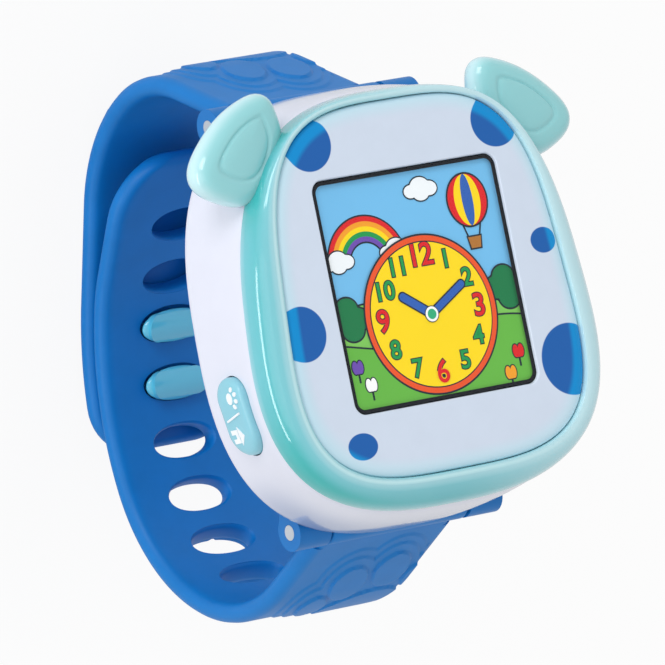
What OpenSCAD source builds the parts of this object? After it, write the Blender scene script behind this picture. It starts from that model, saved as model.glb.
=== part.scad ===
// A toddler's toy watch that lies on the flat back stretch of its strap, display up.
// The shapes are drawn in watch axes: x to 3 o'clock, y to 12 o'clock, z out of the
// display, from the middle of the window on the face plane. stand() then leans the
// watch until the rest stretch of the strap lies on z = 0 with its middle at the origin.

/* [Face] */
// Half width of the pale face panel
panel_w = 19.7; // [18.9:0.1:21]
// Half height of the face panel
panel_h = 21.5; // [20.6:0.1:23]
// Thickness of the face panel
panel_t = 1.5; // [1.2:0.1:1.7]
// Width of the sloping rim of the face panel
panel_bevel = 0.8; // [0.3:0.1:1.2]
// Width of the window
window_w = 26; // [24:0.2:26.8]
// Height of the window
window_h = 27.05; // [25:0.05:28]
// Corner radius of the window
window_r = 1.5; // [0.8:0.1:3]
// How far the window lies below the face
window_drop = 0.3; // [0:0.05:0.5]

/* [Light ring and ears] */
// Half width of the light ring where it meets the case
ring_w = 23.45; // [23:0.05:24.5]
// Half height of the light ring where it meets the case
ring_h = 24.15; // [23.5:0.05:25]
// Middle of the light ring below the middle of the window
ring_y = -1.15; // [-1.6:0.05:-0.8]
// Drop of the light ring from its top to the case
ring_drop = 3.3; // [3:0.1:3.8]
// Height of the lip round the face panel
lip_rise = 0.3; // [0.1:0.05:0.6]
// Width of the lip round the face panel
lip_w = 0.5; // [0.3:0.05:0.8]
// Width of the ledge under the face panel
ledge_w = 1.3; // [0.9:0.1:1.5]
// Thickness of an ear
ear_t = 4.1; // [3.6:0.1:5]
// Size that the ear's outline follows
ear_size = 10; // [9:0.1:11]
// Height of the raised pad on an ear
ear_pad = 0.3; // [0.2:0.05:0.6]

/* [Case] */
// Half width of the case
case_w = 23.5; // [23.2:0.05:24.5]
// Half height of the case
case_h = 25.55; // [25:0.05:26.2]
// Middle of the case below the middle of the window
case_y = -1.25; // [-1.6:0.05:-0.9]
// Thickness of the case wall
wall = 1.8; // [1.5:0.1:2]
// Depth of the case from its top edge to the back cover
case_d = 10.6; // [10.4:0.1:11]
// Height of the back cover
cover_h = 2.55; // [2.3:0.05:2.9]
// Step in from the case wall to the back cover
cover_inset = 0.7; // [0.5:0.05:0.8]
// Thickness of the back cover's floor
floor_t = 1.6; // [1.4:0.05:1.7]

/* [Lugs and pins] */
// Distance between the two strap pins
pin_span = 47.4; // [46.8:0.1:48]
// Height of the pins above the outer face of the back cover
pin_up = 0.5; // [0.3:0.05:0.8]
// Radius of a strap pin
pin_r = 0.9; // [0.7:0.05:1.1]
// Outer radius of the lug knuckles and of the strap's eyes
eye_r = 2.2; // [2:0.05:2.4]
// Half width from knuckle to knuckle, outside
lug_w = 14.5; // [13.8:0.1:15.2]
// Half width of the gap between the knuckles
lug_gap_w = 10.05; // [9.8:0.05:10.6]

/* [Strap] */
// Width of the strap
band_w = 20.2; // [19:0.1:21]
// Thickness of the strap
band_t = 2.4; // [2:0.05:2.5]
// Straight stretch of the lower strap from its pin
low_run = 13.7; // [13.4:0.1:14]
// Radius of its first bend
low_r1 = 18.8; // [18.5:0.1:19]
// Radius of its second bend
low_r2 = 20.6; // [20.3:0.1:20.9]
// Radius of the seam between the two straps where they lie together
nest_r = 39.5; // [39.2:0.1:39.8]
// Straight stretch of the outer strap that the watch rests on
rest_run = 12.5; // [12:0.1:13]
// Radius of the upper strap's bend above the rest stretch
up_r1 = 20; // [19.6:0.1:20.4]
// Radius of the upper strap's bend before its pin
up_r2 = 14.7; // [14.3:0.1:15]
// Length of the lower strap's straight tail
tail_run = 15.9; // [15:0.1:16]
// Radius of the last bend before the tail
tail_r = 20; // [19:0.5:24]
// Length of the upper strap's straight tip
tip_run = 6.5; // [6.3:0.1:6.8]
// Corner radius of the upper strap's tip
tip_r = 6; // [4:0.1:6.2]
// Corner radius of the lower strap's tail
tail_corner = 8; // [6:0.1:9]
// Pitch of the oval holes
hole_pitch = 7; // [6.7:0.05:7.2]
// Distance of the first hole from the pin, along the strap
hole_first = 33.7; // [33.2:0.1:34.2]
// Width of a hole, across the strap
hole_w = 8.6; // [8.4:0.1:9.4]
// Length of a hole, along the strap
hole_l = 4.2; // [4.1:0.05:4.5]
// Width of the sunk rim of a hole
hole_rim = 0.45; // [0.2:0.05:0.6]
// Size of the raised paw print on the strap
paw_size = 14; // [12:0.2:15]
// Rise of the paw print's pads
paw_rise = 0.7; // [0.4:0.05:0.8]
// Width of the terraces round each pad
paw_terrace = 2.2; // [1.6:0.1:2.4]
// Distance of a paw print's toes from the pin
paw_from = 11.9; // [11.5:0.1:13]
// Distance between the two paw prints of the lower strap
low_paw_pitch = 24; // [22:0.5:25]
// Distance between the two paw prints of the upper strap
up_paw_pitch = 18; // [17:0.1:19]

/* [Clasp] */
// Width of the pegs' heads
head_w = 8; // [7:0.1:8.2]
// Length of the pegs' heads
head_l = 3.4; // [2.8:0.05:3.5]
// Rise of the pegs' domed heads
head_rise = 1.3; // [1:0.05:1.5]
// Width of the pegs' necks
neck_w = 5.6; // [4.5:0.1:6]
// Length of the pegs' necks
neck_l = 2.2; // [1.8:0.05:2.4]
// Width of the clasp plate
plate_w = 11; // [9.5:0.1:12]
// Length of the clasp plate along the strap
plate_l = 13; // [12.4:0.1:13.6]
// Thickness of the clasp plate
plate_t = 0.9; // [0.7:0.05:1.1]
// How far the clasp plate stands out of the strap
plate_proud = 0; // [0:0.05:0.2]

/* [Buttons] */
// Length of a side button
button_l = 9.2; // [8.6:0.1:9.6]
// Height of a side button
button_h = 5.4; // [5:0.1:5.6]
// How far a side button stands out of the case
button_proud = 1; // [0.8:0.05:1.3]
// Step between the two levels of a button's face
button_edge = 0.4; // [0.2:0.05:0.5]
// Travel of a side button
button_travel = 0.6; // [0.4:0.05:0.6]
// Place of the buttons below the middle of the window
button_y = -10.9; // [-11.4:0.1:-10.4]
// Depth of the buttons below the face
button_z = 8.1; // [7.9:0.05:8.3]

/* [Inside] */
// Thickness of the window's flange
flange_t = 0.6; // [0.5:0.05:0.7]
// Thickness of the foam gasket
gasket_t = 0.8; // [0.6:0.05:0.8]
// Width of the gasket's sides, beside the display picture
gasket_side = 1.55; // [1.5:0.05:2]
// Width of the gasket's ends, above and below the display picture
gasket_end = 1.75; // [1.6:0.05:2.2]
// Width of the display glass
glass_w = 28.6; // [28:0.1:29]
// Height of the display glass
glass_h = 31.2; // [30.6:0.1:31.6]
// Thickness of the display glass
glass_t = 1.4; // [1.2:0.05:1.5]
// Thickness of the light plate under the glass
tray_t = 1.9; // [1.7:0.05:2]
// Thickness of the circuit board
board_t = 1; // [0.8:0.05:1]
// Space between the display tray and the board
board_gap = 1.9; // [1.8:0.05:2]
// Diameter of a button cell
cell_d = 11.6; // [11.2:0.1:11.6]
// Thickness of a button cell
cell_t = 4.2; // [4:0.05:4.2]
// Diameter of the speaker
speaker_d = 15; // [13:0.2:15.4]
// Height of the speaker
speaker_t = 3.3; // [2.8:0.05:3.4]

/* [Fasteners] */
// Thread radius of a case screw
screw_r = 1; // [0.9:0.05:1.1]
// Head radius of a case screw
screw_head_r = 1.9; // [1.7:0.05:1.9]
// Head height of a case screw
screw_head_t = 1.1; // [0.9:0.05:1.1]
// Radius of the screw bosses
boss_r = 2.4; // [2.2:0.05:2.5]
// Thread radius of a board screw and of the door screw
small_screw_r = 0.8; // [0.7:0.05:0.85]
// Head radius of a board screw and of the door screw
small_head_r = 1.5; // [1.3:0.05:1.5]
// Head height of a board screw and of the door screw
small_head_t = 0.8; // [0.7:0.05:0.8]

/* [Fits] */
// Clearance between parts that fit into each other
fit = 0.1; // [0.08:0.01:0.12]
// Running clearance of a pin in its eye, of a button in its slot
run_fit = 0.05; // [0.04:0.01:0.06]
// Gap between the two straps where they lie together
nest_gap = 0.35; // [0.3:0.01:0.4]

/* [Hidden] */

$fn = 48;
over = 0.5;
sides = 64;
around = [-1, 1];

// heights, from the face plane down
ring_z = -ring_drop;
cover_z = ring_z - case_d;
back_z = cover_z - fit / 2 - cover_h;
floor_z = back_z + floor_t;
lens_z = -panel_t;
gasket_z = lens_z - flange_t;
glass_z = gasket_z - gasket_t;
tray_z = glass_z - glass_t;
board_z = tray_z - tray_t - board_gap;
board_low_z = board_z - board_t;

// outlines: half width, half height, middle, squareness, narrowing toward 12 o'clock
panel_square = 3.5;
case_square = 2.7;
panel_pear_share = 0.085;
ring_pear_share = 0.1;
case_pear_share = 0.03;
panel_line = [panel_w, panel_h, 0, panel_square, panel_pear_share];
ring_line = [ring_w, ring_h, ring_y, case_square, ring_pear_share];
case_line = [case_w, case_h, case_y, case_square, case_pear_share];
function grown(line, by) = [line[0] + by, line[1] + by, line[2], line[3], line[4]];
function mixed(a, b, share) = a + (b - a) * share;
function power(v, e) = sign(v) * pow(abs(v), e);
function line_point(line, turn) =
    let(up = power(sin(turn), 2 / line[3]))
    [line[0] * power(cos(turn), 2 / line[3]) * (1 - line[4] * up), line[2] + line[1] * up];
function line_points(line) = [for (i = [0 : sides - 1]) line_point(line, 360 * i / sides)];
function half_width(line, y) =
    let(up = (y - line[2]) / line[1])
    line[0] * (1 - line[4] * up) * pow(1 - pow(abs(up), line[3]), 1 / line[3]);

// a closed skin through rings of points, all in one turning sense, from the first to the last
module skin(rings) {
    n = len(rings[0]);
    last = len(rings) - 1;
    polyhedron(
        points = [for (ring = rings) each ring],
        faces = concat(
            [[for (i = [0 : n - 1]) i]],
            [[for (i = [n - 1 : -1 : 0]) last * n + i]],
            [for (k = [0 : last - 1], i = [0 : n - 1])
                [k * n + i, (k + 1) * n + i, (k + 1) * n + (i + 1) % n, k * n + (i + 1) % n]]));
}
// a body lofted through outlines, each given as [height, outline], from the lowest up
module loft(levels) {
    skin([for (level = levels) [for (p = line_points(level[1])) [p[0], p[1], level[0]]]]);
}

// the case's outer form between its back cover and the light ring
case_shares = [0, 0.3, 0.6, 1];
function case_line_at(s) = mixed(case_line, ring_line, s * s);
module case_form(by) {
    loft([for (s = case_shares) [mixed(cover_z, ring_z, s), grown(case_line_at(s), by)]]);
}

// the room inside the case wall: upright at the back, then drawn in toward the light ring
room_z = mixed(cover_z, ring_z, case_shares[1]);
function room_line_at(z) =
    grown(mixed(case_line, ring_line, max(0, (z - room_z) / (ring_z + over - room_z))), -wall);

// the outer form of the back cover
cover_shares = [[0, 0.78], [0.16, 0.42], [0.5, 0.13], [1, 0]];
cover_round = 2;
module cover_form() {
    loft([for (s = cover_shares)
        [back_z + cover_h * s[0], grown(case_line, -cover_inset - cover_round * s[1])]]);
}

module rounded(w, h, r) {
    square([w - 2 * r, h], center = true);
    square([w, h - 2 * r], center = true);
    for (x = around, y = around) translate([x * (w / 2 - r), y * (h / 2 - r)]) circle(r);
}
module stadium(w, h) {
    square([w - h, h], center = true);
    for (x = around) translate([x * (w - h) / 2, 0]) circle(h / 2);
}
module plate(z, t) { translate([0, 0, z]) linear_extrude(t) children(); }

// paths of the straps, in the plane of y and z: start, heading and legs of [length, turn]
lean = 23;
low_heading = 244;
low_turn1 = 56.2;
low_turn2 = 50.6;
tail_turn = 12.5;
tip_turn = 16.5;
up_turn1 = 43;
pin_z = back_z + pin_up;
pin_y_shift = 0.05;
up_pin = [case_y + pin_span / 2 + pin_y_shift, pin_z];
low_pin = [case_y - pin_span / 2 + pin_y_shift, pin_z];
function ahead(h) = [cos(h), sin(h)];
function aside(h) = [-sin(h), cos(h)];
function bend(r, turn) = [r * turn * PI / 180, turn];
function bend_r(leg) = leg[0] * 180 / (leg[1] * PI);
function moved(p, h, run, turn) = turn == 0 ? p + run * ahead(h)
    : let(r = bend_r([run, turn])) p + r * (aside(h) - aside(h + turn));
function leg_start(path, i) = i == 0 ? [path[0], path[1]]
    : let(q = leg_start(path, i - 1), leg = path[2][i - 1])
      [moved(q[0], q[1], leg[0], leg[1]), q[1] + leg[1]];
function at_run(path, run, i = 0) =
    let(leg = path[2][i])
    run <= leg[0] || i == len(path[2]) - 1
    ? let(q = leg_start(path, i), turn = leg[1] * run / leg[0])
      [moved(q[0], q[1], run, turn), q[1] + turn]
    : at_run(path, run - leg[0], i + 1);
function path_length(path, i = 0) = i == len(path[2]) ? 0 : path[2][i][0] + path_length(path, i + 1);

in_nest_r = nest_r - (band_t + nest_gap) / 2;
out_nest_r = nest_r + (band_t + nest_gap) / 2;
nest_turn = lean + 360 - low_heading - low_turn1 - low_turn2;
low_path = [low_pin, low_heading, [[low_run, 0], bend(low_r1, low_turn1), bend(low_r2, low_turn2),
    bend(in_nest_r, nest_turn), bend(tail_r, tail_turn), [tail_run, 0]]];
nest_start = leg_start(low_path, 3);
nest_middle = nest_start[0] + in_nest_r * aside(nest_start[1]);
tip_heading = lean - tip_turn;
tip_point = nest_middle - out_nest_r * aside(tip_heading) - tip_run * ahead(tip_heading);
rest_point = nest_middle - out_nest_r * aside(lean);
bend1_end = moved(rest_point + rest_run * ahead(lean), lean, up_r1 * up_turn1 * PI / 180, up_turn1);
bend2_middle = bend1_end + up_r2 * aside(lean + up_turn1);
to_pin = up_pin - bend2_middle;
up_run = sqrt(to_pin * to_pin - up_r2 * up_r2);
up_heading = atan2(to_pin[1], to_pin[0]) + atan2(up_r2, up_run);
up_path = [tip_point, tip_heading, [[tip_run, 0], bend(out_nest_r, tip_turn), [rest_run, 0],
    bend(up_r1, up_turn1), bend(up_r2, up_heading - lean - up_turn1), [up_run, 0]]];
up_length = path_length(up_path);
rest_middle = rest_point + rest_run / 2 * ahead(lean) - band_t / 2 * aside(lean);

// leans the watch onto the rest stretch of its strap
module stand() {
    rotate([-lean, 0, 0]) translate([0, -rest_middle[0], -rest_middle[1]]) children();
}
// puts its children at a point of a path: y ahead, z to the inner side
module place_at(q) { translate([0, q[0][0], q[0][1]]) rotate([q[1], 0, 0]) children(); }
// lengths along a path at which its sections stand, over legs first to last
station_gap = 2.2;
function leg_from(path, i) = i == 0 ? 0 : leg_from(path, i - 1) + path[2][i - 1][0];
function leg_runs(path, first, last) = [for (i = [first : last])
    let(leg = path[2][i], n = leg[1] == 0 ? 1 : ceil(leg[0] / station_gap))
    for (k = [(i == first ? 0 : 1) : n]) leg_from(path, i) + leg[0] * k / n];
// sweeps sections, each a list of [across, outward] points, through the given lengths of a path
module swept(path, runs, sections) {
    skin([for (k = [0 : len(runs) - 1]) let(q = at_run(path, runs[k]))
        [for (p = sections[k]) let(c = q[0] - p[1] * aside(q[1])) [p[0], c[0], c[1]]]]);
}
function layer_section(w, in, out) = [[-w / 2, in], [w / 2, in], [w / 2, out], [-w / 2, out]];
module layer(path, first, last, w, in, out) {
    runs = leg_runs(path, first, last);
    swept(path, runs, [for (run = runs) layer_section(w, in, out)]);
}

// case

boss_gap = 0.4;
boss_turn = 42;
boss_turns = [boss_turn, 180 - boss_turn, 180 + boss_turn, 360 - boss_turn];
boss_places = [for (turn = boss_turns) line_point(grown(case_line, -wall - boss_r - boss_gap), turn)];
web_t = 1.2;
case_pilot = screw_r - fit;
board_pilot = small_screw_r - fit;
case_screw_in = 2.5;
pilot_turn_z = cover_z + case_screw_in + fit;
pocket_r = eye_r + nest_gap;
pocket_wall = 1;
slot_fit = run_fit;
module at_bosses() { for (p = boss_places) translate([p[0], p[1], 0]) children(); }
module pocket(r, w) {
    for (p = [up_pin, low_pin]) translate([-w, p[0], p[1]]) rotate([0, 90, 0]) cylinder(h = 2 * w, r = r);
}
// a pill that runs along x on the given side of the case
module pill(side, l, h, from_x, to_x) {
    translate([0, button_y, -button_z]) rotate([0, 0, side < 0 ? 180 : 0]) translate([from_x, 0, 0])
        rotate([90, 0, 90]) linear_extrude(to_x - from_x) stadium(l, h);
}

module case_shell() {
    color("ghostwhite") stand() difference() {
        union() {
            difference() {
                case_form(0);
                loft([for (z = [cover_z - over, room_z, ring_z + over]) [z, room_line_at(z)]]);
            }
            intersection() {
                case_form(0);
                union() {
                    at_bosses() translate([0, 0, cover_z]) cylinder(h = board_low_z - cover_z, r = boss_r);
                    for (p = boss_places)
                        translate([p[0], p[1], cover_z]) rotate(atan2(p[1] - case_y, p[0]))
                        translate([0, -web_t / 2, 0]) cube([case_w, web_t, board_low_z - cover_z]);
                    pocket(pocket_r + pocket_wall, lug_gap_w + pocket_wall);
                }
            }
        }
        pocket(pocket_r, lug_w + fit);
        at_bosses() translate([0, 0, pilot_turn_z]) cylinder(h = case_d, r = board_pilot);
        at_bosses() translate([0, 0, cover_z - over]) cylinder(h = pilot_turn_z - cover_z + over, r = case_pilot);
        for (side = around)
            pill(side, button_l + 2 * slot_fit, button_h + 2 * slot_fit, board_w_at_button,
                max(case_w, ring_w) + over);
    }
}

// light ring

spigot_h = 1;
spigot_t = 1.2;
ring_steps = 5;
lip_line = grown(panel_line, fit + lip_w);
function ring_level(k) =
    let(turn = 90 * k / ring_steps)
    [mixed(ring_z, lip_rise, sin(turn)), mixed(lip_line, ring_line, cos(turn))];
// points that lead the ear's outline, as shares of its size from the ring's corner
ear_lead_shares = [[0.25, -0.41], [0.61, -0.27], [0.82, -0.16], [0.83, -0.06], [0.36, 0.41],
    [-0.14, 0.56], [-0.03, 0.52], [-0.2, 0.24]];
ear_corner = line_point(ring_line, 45);
ear_drop = 0.2;
ear_r = ear_t / 2;
ear_parts = 5;
// the outline at a step past a leading point: place and direction of a smooth curve
function ear_lead(i) = ear_corner + ear_size * ear_lead_shares[i % len(ear_lead_shares)];
function ear_place(i, t) = (pow(1 - t, 3) * ear_lead(i) + (3 * pow(t, 3) - 6 * t * t + 4) * ear_lead(i + 1)
    + (3 * t + 3 * t * t - 3 * pow(t, 3) + 1) * ear_lead(i + 2) + pow(t, 3) * ear_lead(i + 3)) / 6;
function ear_way(i, t) = (1 - t) * (1 - t) * (ear_lead(i + 1) - ear_lead(i))
    + 2 * t * (1 - t) * (ear_lead(i + 2) - ear_lead(i + 1)) + t * t * (ear_lead(i + 3) - ear_lead(i + 2));
ear_middle = ear_corner
    + ear_size * ([for (s = ear_lead_shares) 1 / len(ear_lead_shares)] * ear_lead_shares);
// a ring of the ear: grown outward, drawn in toward the middle by a share, at a height
function ear_ring(by, share, z) = [for (i = [0 : len(ear_lead_shares) - 1], k = [0 : ear_parts - 1])
    let(t = k / ear_parts, way = ear_way(i, t), p = ear_place(i, t) + by * [way[1], -way[0]] / norm(way))
    [mixed(p[0], ear_middle[0], share), mixed(p[1], ear_middle[1], share), ring_z - ear_drop + z]];
ear_round_turns = [-75, -45, -15, 15, 45, 75];
ear_pad_shares = [[0.1, 0], [0.2, 0], [0.28, 0.7], [0.7, 1]];
module ear() {
    skin(concat([for (turn = ear_round_turns) ear_ring(ear_r * cos(turn), 0, ear_r * sin(turn))],
        [for (s = ear_pad_shares) ear_ring(0, s[0], ear_r + s[1] * ear_pad)]));
}
module light_ring() {
    color("paleturquoise") stand() difference() {
        union() {
            difference() {
                for (x = [0, 1]) mirror([x, 0, 0]) ear();
                case_form(fit);
            }
            loft([for (k = [0 : ring_steps]) ring_level(k)]);
            loft([for (z = [ring_z - spigot_h, ring_z + over]) [z, grown(ring_line, -wall - fit)]]);
        }
        loft([for (z = [lens_z, lip_rise + over]) [z, grown(panel_line, fit)]]);
        loft([for (z = [gasket_z - fit, 0]) [z, grown(panel_line, -ledge_w)]]);
        loft([[ring_z - spigot_h - over, grown(ring_line, -wall - fit - spigot_t)],
            [ring_z, grown(ring_line, -wall - fit - spigot_t)],
            [gasket_z - fit / 2, grown(panel_line, -ledge_w)]]);
    }
}

module front_panel() {
    color("lightsteelblue") stand() difference() {
        loft([[lens_z, panel_line], [-panel_bevel / 2, panel_line], [0, grown(panel_line, -panel_bevel)]]);
        plate(lens_z - over, panel_t + 2 * over) rounded(window_w, window_h, window_r);
    }
}

// window and display

lens_w = window_w - 2 * fit;
lens_h = window_h - 2 * fit;
glass_y = -0.6;
flange_w = glass_w;
flange_h = glass_h + 2 * glass_y;
tray_wall = 0.6;
tray_side = glass_t - fit;
leg_r = 1.2;
leg_x = glass_w / 2 - 2 * leg_r;
leg_high = glass_y + glass_h / 2 - 3 * leg_r;
leg_low = glass_y - glass_h / 2 + 3 * leg_r;
flex_w = 10;
flex_t = 0.2;
module window_lens() {
    color([0.75, 0.88, 0.95, 0.5]) stand() {
        plate(lens_z, panel_t - window_drop) rounded(lens_w, lens_h, window_r - fit);
        plate(gasket_z, flange_t) rounded(flange_w, flange_h, window_r);
    }
}
module lcd_gasket() {
    color("dimgray") stand() plate(glass_z, gasket_t) difference() {
        rounded(flange_w, flange_h, window_r);
        square([flange_w - 2 * gasket_side, flange_h - 2 * gasket_end], center = true);
    }
}
module lcd_glass() {
    color("lightskyblue") stand()
        plate(tray_z, glass_t) translate([0, glass_y]) square([glass_w, glass_h], center = true);
}
tray_w = glass_w + 2 * (fit + tray_wall);
tray_h = glass_h + 2 * (fit + tray_wall);
tray_corner = 2.5;
module lcd_frame() {
    color("whitesmoke") stand() {
        difference() {
            plate(tray_z - tray_t, tray_t + tray_side)
                translate([0, glass_y]) rounded(tray_w, tray_h, tray_corner);
            plate(tray_z, glass_t + over) translate([0, glass_y])
                square([glass_w + 2 * fit, glass_h + 2 * fit], center = true);
            plate(tray_z, glass_t + over) translate([0, glass_y - tray_h / 2])
                square([flex_w + 2 * fit, glass_h / 2], center = true);
        }
        for (x = around, y = [leg_high, leg_low]) translate([x * leg_x, y, board_z])
            cylinder(h = board_gap, r = leg_r);
    }
}
flex_out = glass_y - tray_h / 2 - fit;
flex_in = leg_low;
flex_z = tray_z + glass_t / 2;
module lcd_flex() {
    color("darkgoldenrod") stand() translate([-flex_w / 2, 0, 0]) rotate([90, 0, 90]) linear_extrude(flex_w)
        polygon([[glass_y - glass_h / 2, flex_z], [glass_y - glass_h / 2, flex_z - flex_t],
            [flex_out, flex_z - flex_t], [flex_out, board_z + flex_t], [flex_in, board_z + flex_t],
            [flex_in, board_z], [flex_out - flex_t, board_z], [flex_out - flex_t, flex_z]]);
}

// circuit board

board_inset = 1;
board_line = grown(case_line, -wall - board_inset);
rim_t = 0.8;
rim_gap = 0.3;
stem_l = 0.3;
stem_x = half_width(room_line_at(-button_z), button_y) - rim_gap - rim_t - stem_l;
notch_room = 1.2;
switch_notch = button_l + 2 * notch_room;
switch_l = 4.4;
switch_h = 3.2;
switch_w = 2;
plunger_r = 0.9;
plunger_w = 0.3;
board_w_at_button = stem_x - button_travel - 2 * fit - plunger_w - switch_w - fit;
led_turns = [15, 75, 105, 165, 255, 285];
led_size = [2, 1.6, 1.2];
led_inset = 2.4;
chip_h = 1;
// chips, as shares of the board's half width: place, length and width
chip_shares = [[0, 0.15, 0.44, 0.44], [-0.36, -0.29, 0.22, 0.19], [0.34, -0.24, 0.16, 0.12],
    [0.41, 0.2, 0.1, 0.06]];
module main_board() {
    color("seagreen") stand() difference() {
        loft([for (z = [board_low_z, board_z]) [z, board_line]]);
        for (x = around) translate([x * (board_w_at_button + case_w / 2), button_y, board_z])
            cube([case_w, switch_notch, board_t * 4], center = true);
        at_bosses() translate([0, 0, board_low_z - over])
            cylinder(h = board_t + 2 * over, r = small_screw_r + fit);
    }
}
module board_chips() {
    color("black") stand() for (s = chip_shares * board_line[0])
        translate([s[0] - s[2] / 2, s[1] - s[3] / 2, board_z]) cube([s[2], s[3], chip_h]);
}
module ring_leds() {
    color("white") stand() for (turn = led_turns) {
        p = line_point(grown(board_line, -led_inset), turn);
        translate([p[0] - led_size[0] / 2, p[1] - led_size[1] / 2, board_z]) cube(led_size);
    }
}
module tact_switches() {
    color("gray") stand() for (x = [0, 1]) mirror([x, 0, 0]) {
        translate([board_w_at_button + fit, button_y - switch_l / 2, -button_z - switch_h / 2])
            cube([switch_w, switch_l, switch_h]);
        translate([board_w_at_button + fit + switch_w - over, button_y, -button_z]) rotate([0, 90, 0])
            cylinder(h = plunger_w + over, r = plunger_r);
    }
}

// side buttons

rim_w = 0.5;
stem_r = 1.1;
pill_turns = [0, 22.5, 45, 67.5, 90];
edge_shares = [[0, 1], [0.3, 0.3], [1, 0]];
// a pill's outline, from its end at 12 o'clock round: the first quarter, then the rest by mirroring
function pill_quarter(l, h) = [for (turn = pill_turns) [(l - h) / 2 + h / 2 * cos(turn), h / 2 * sin(turn)]];
function pill_points(l, h) =
    let(q = pill_quarter(l, h), n = len(q))
    concat(q, [[0, h / 2]], [for (i = [n - 1 : -1 : 0]) [-q[i][0], q[i][1]]],
        [for (i = [1 : n - 1]) [-q[i][0], -q[i][1]]], [[0, -h / 2]],
        [for (i = [n - 1 : -1 : 1]) [q[i][0], -q[i][1]]]);
// rings of a button: the pill's outline laid on the case wall and moved out, or laid on the
// inside of the wall and moved in
function button_ring(l, h, out) = [for (p = pill_points(l, h))
    let(z = p[1] - button_z, line = case_line_at((z - cover_z) / case_d))
    [half_width(line, button_y + p[0]) + out, button_y + p[0], z]];
function flange_ring(l, h, in) = [for (p = pill_points(l, h))
    [half_width(room_line_at(p[1] - button_z), button_y + p[0]) - in, button_y + p[0], p[1] - button_z]];
module side_button(side) {
    stand() mirror([side < 0 ? 1 : 0, 0, 0]) {
        button_skin(concat(
            [for (in = [rim_gap + rim_t, rim_gap])
                flange_ring(button_l + 2 * rim_w, button_h + 2 * rim_w, in)],
            [flange_ring(button_l, button_h, rim_gap)],
            [for (s = edge_shares) button_ring(button_l - 2 * s[0] * button_edge,
                button_h - 2 * s[0] * button_edge, button_proud - s[1] * button_edge)]));
        pill(1, 2 * stem_r + over, 2 * stem_r, stem_x, stem_x + stem_l + rim_t);
    }
}
// a skin whose two curved ends are closed by strips across the pill
function strip_faces(n) = [for (i = [0 : n / 2 - 1]) i == 0 ? [0, 1, n - 1]
    : i == n / 2 - 1 ? [n - i, i, i + 1] : [n - i, i, i + 1, n - i - 1]];
module button_skin(rings) {
    n = len(rings[0]);
    last = len(rings) - 1;
    polyhedron(
        points = [for (ring = rings) each ring],
        faces = concat(
            strip_faces(n),
            [for (face = strip_faces(n)) [for (k = [len(face) - 1 : -1 : 0]) last * n + face[k]]],
            [for (k = [0 : last - 1], i = [0 : n - 1])
                [k * n + i, (k + 1) * n + i, (k + 1) * n + (i + 1) % n, k * n + (i + 1) % n]]));
}
module home_button() { color("mediumturquoise") side_button(-1); }
module select_button() { color("mediumturquoise") side_button(1); }

// speaker

speaker_y = 9;
speaker_shares = [[0, 0], [1, 0], [1, 0.3], [0.8, 0.3], [0.8, 0.66], [0.48, 0.66], [0.48, 1], [0, 1]];
module speaker() {
    color("silver") stand() translate([0, speaker_y, floor_z + fit])
        rotate_extrude() polygon([for (s = speaker_shares) [s[0] * speaker_d / 2, s[1] * speaker_t]]);
}

// battery box, in the back cover

door_t = 1.2;
cell_gap = 0.6;
cell_y = -7.8;
cell_step_share = 0.84;
cell_x = (cell_d + cell_gap) / 2;
cell_z = back_z + door_t + 2 * fit;
well_w = 2 * cell_x + cell_d + 4 * fit;
well_h = cell_d + 6 * fit;
contact_t = 0.3;
contact_l = 8;
contact_r = 1.5;
well_top = cell_z + cell_t + 2 * contact_t;
well_wall = 1;
ceiling_t = 0.8;
door_ledge = 1.2;
door_side = 0.8;
door_screw_y = cell_y - well_h / 2 - well_wall - small_head_r - 2 * fit;
door_low = cell_y - well_h / 2 - door_side;
door_high = cell_y + well_h / 2 + door_ledge;
door_w = well_w + 2 * door_side;
door_r = 2;
door_tongue_r = small_head_r + door_side;
tab_w = 4;
tab_x = 7;
tab_t = 0.7;
tab_l = well_wall + door_side;
door_boss_r = 1.9;
door_screw_in = 4;
module button_cells() {
    color("silver") stand() for (x = around) translate([x * cell_x, cell_y, cell_z]) {
        cylinder(h = cell_t * cell_step_share, d = cell_d);
        cylinder(h = cell_t, d = cell_d * cell_step_share);
    }
}
module battery_contacts() {
    color("gold") stand() for (x = around) translate([x * cell_x, cell_y, well_top]) {
        translate([-contact_l / 2, -contact_l / 2, -contact_t]) cube([contact_l, contact_l, contact_t]);
        translate([0, 0, -2 * contact_t]) cylinder(h = contact_t + contact_t / 2, r = contact_r);
    }
}
// the door's outline: a plate over both cells and a tongue for the screw
module door_plate(by) {
    translate([0, (door_low + door_high) / 2])
        rounded(door_w + 2 * by, door_high - door_low + 2 * by, door_r + by);
    hull() for (y = [door_low, door_screw_y]) translate([0, y]) circle(door_tongue_r + by);
}
module door_tabs(by) {
    for (x = around)
        translate([x * tab_x - tab_w / 2 - by, cell_y + well_h / 2 - fit - by, back_z + door_t - by])
        cube([tab_w + 2 * by, tab_l + 2 * by, tab_t + 2 * by]);
}
door_seat_t = door_t - small_head_t;
module battery_door() {
    color("royalblue") stand() difference() {
        union() {
            plate(back_z, door_t) door_plate(0);
            door_tabs(0);
        }
        translate([0, door_screw_y, back_z - over]) cylinder(h = door_t + 2 * over, r = small_screw_r + fit);
        translate([0, door_screw_y, back_z - over]) cylinder(h = small_head_t + over, r = small_head_r + fit);
    }
}
module screw(p, z, head_r, head_t, r, shank) {
    translate([p[0], p[1], z]) {
        translate([0, 0, -head_t]) cylinder(h = head_t, r = head_r);
        cylinder(h = shank, r = r);
    }
}
module door_screw() {
    color("silver") stand()
        screw([0, door_screw_y], back_z + small_head_t, small_head_r, small_head_t - fit,
            small_screw_r, door_seat_t + door_screw_in);
}

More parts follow.
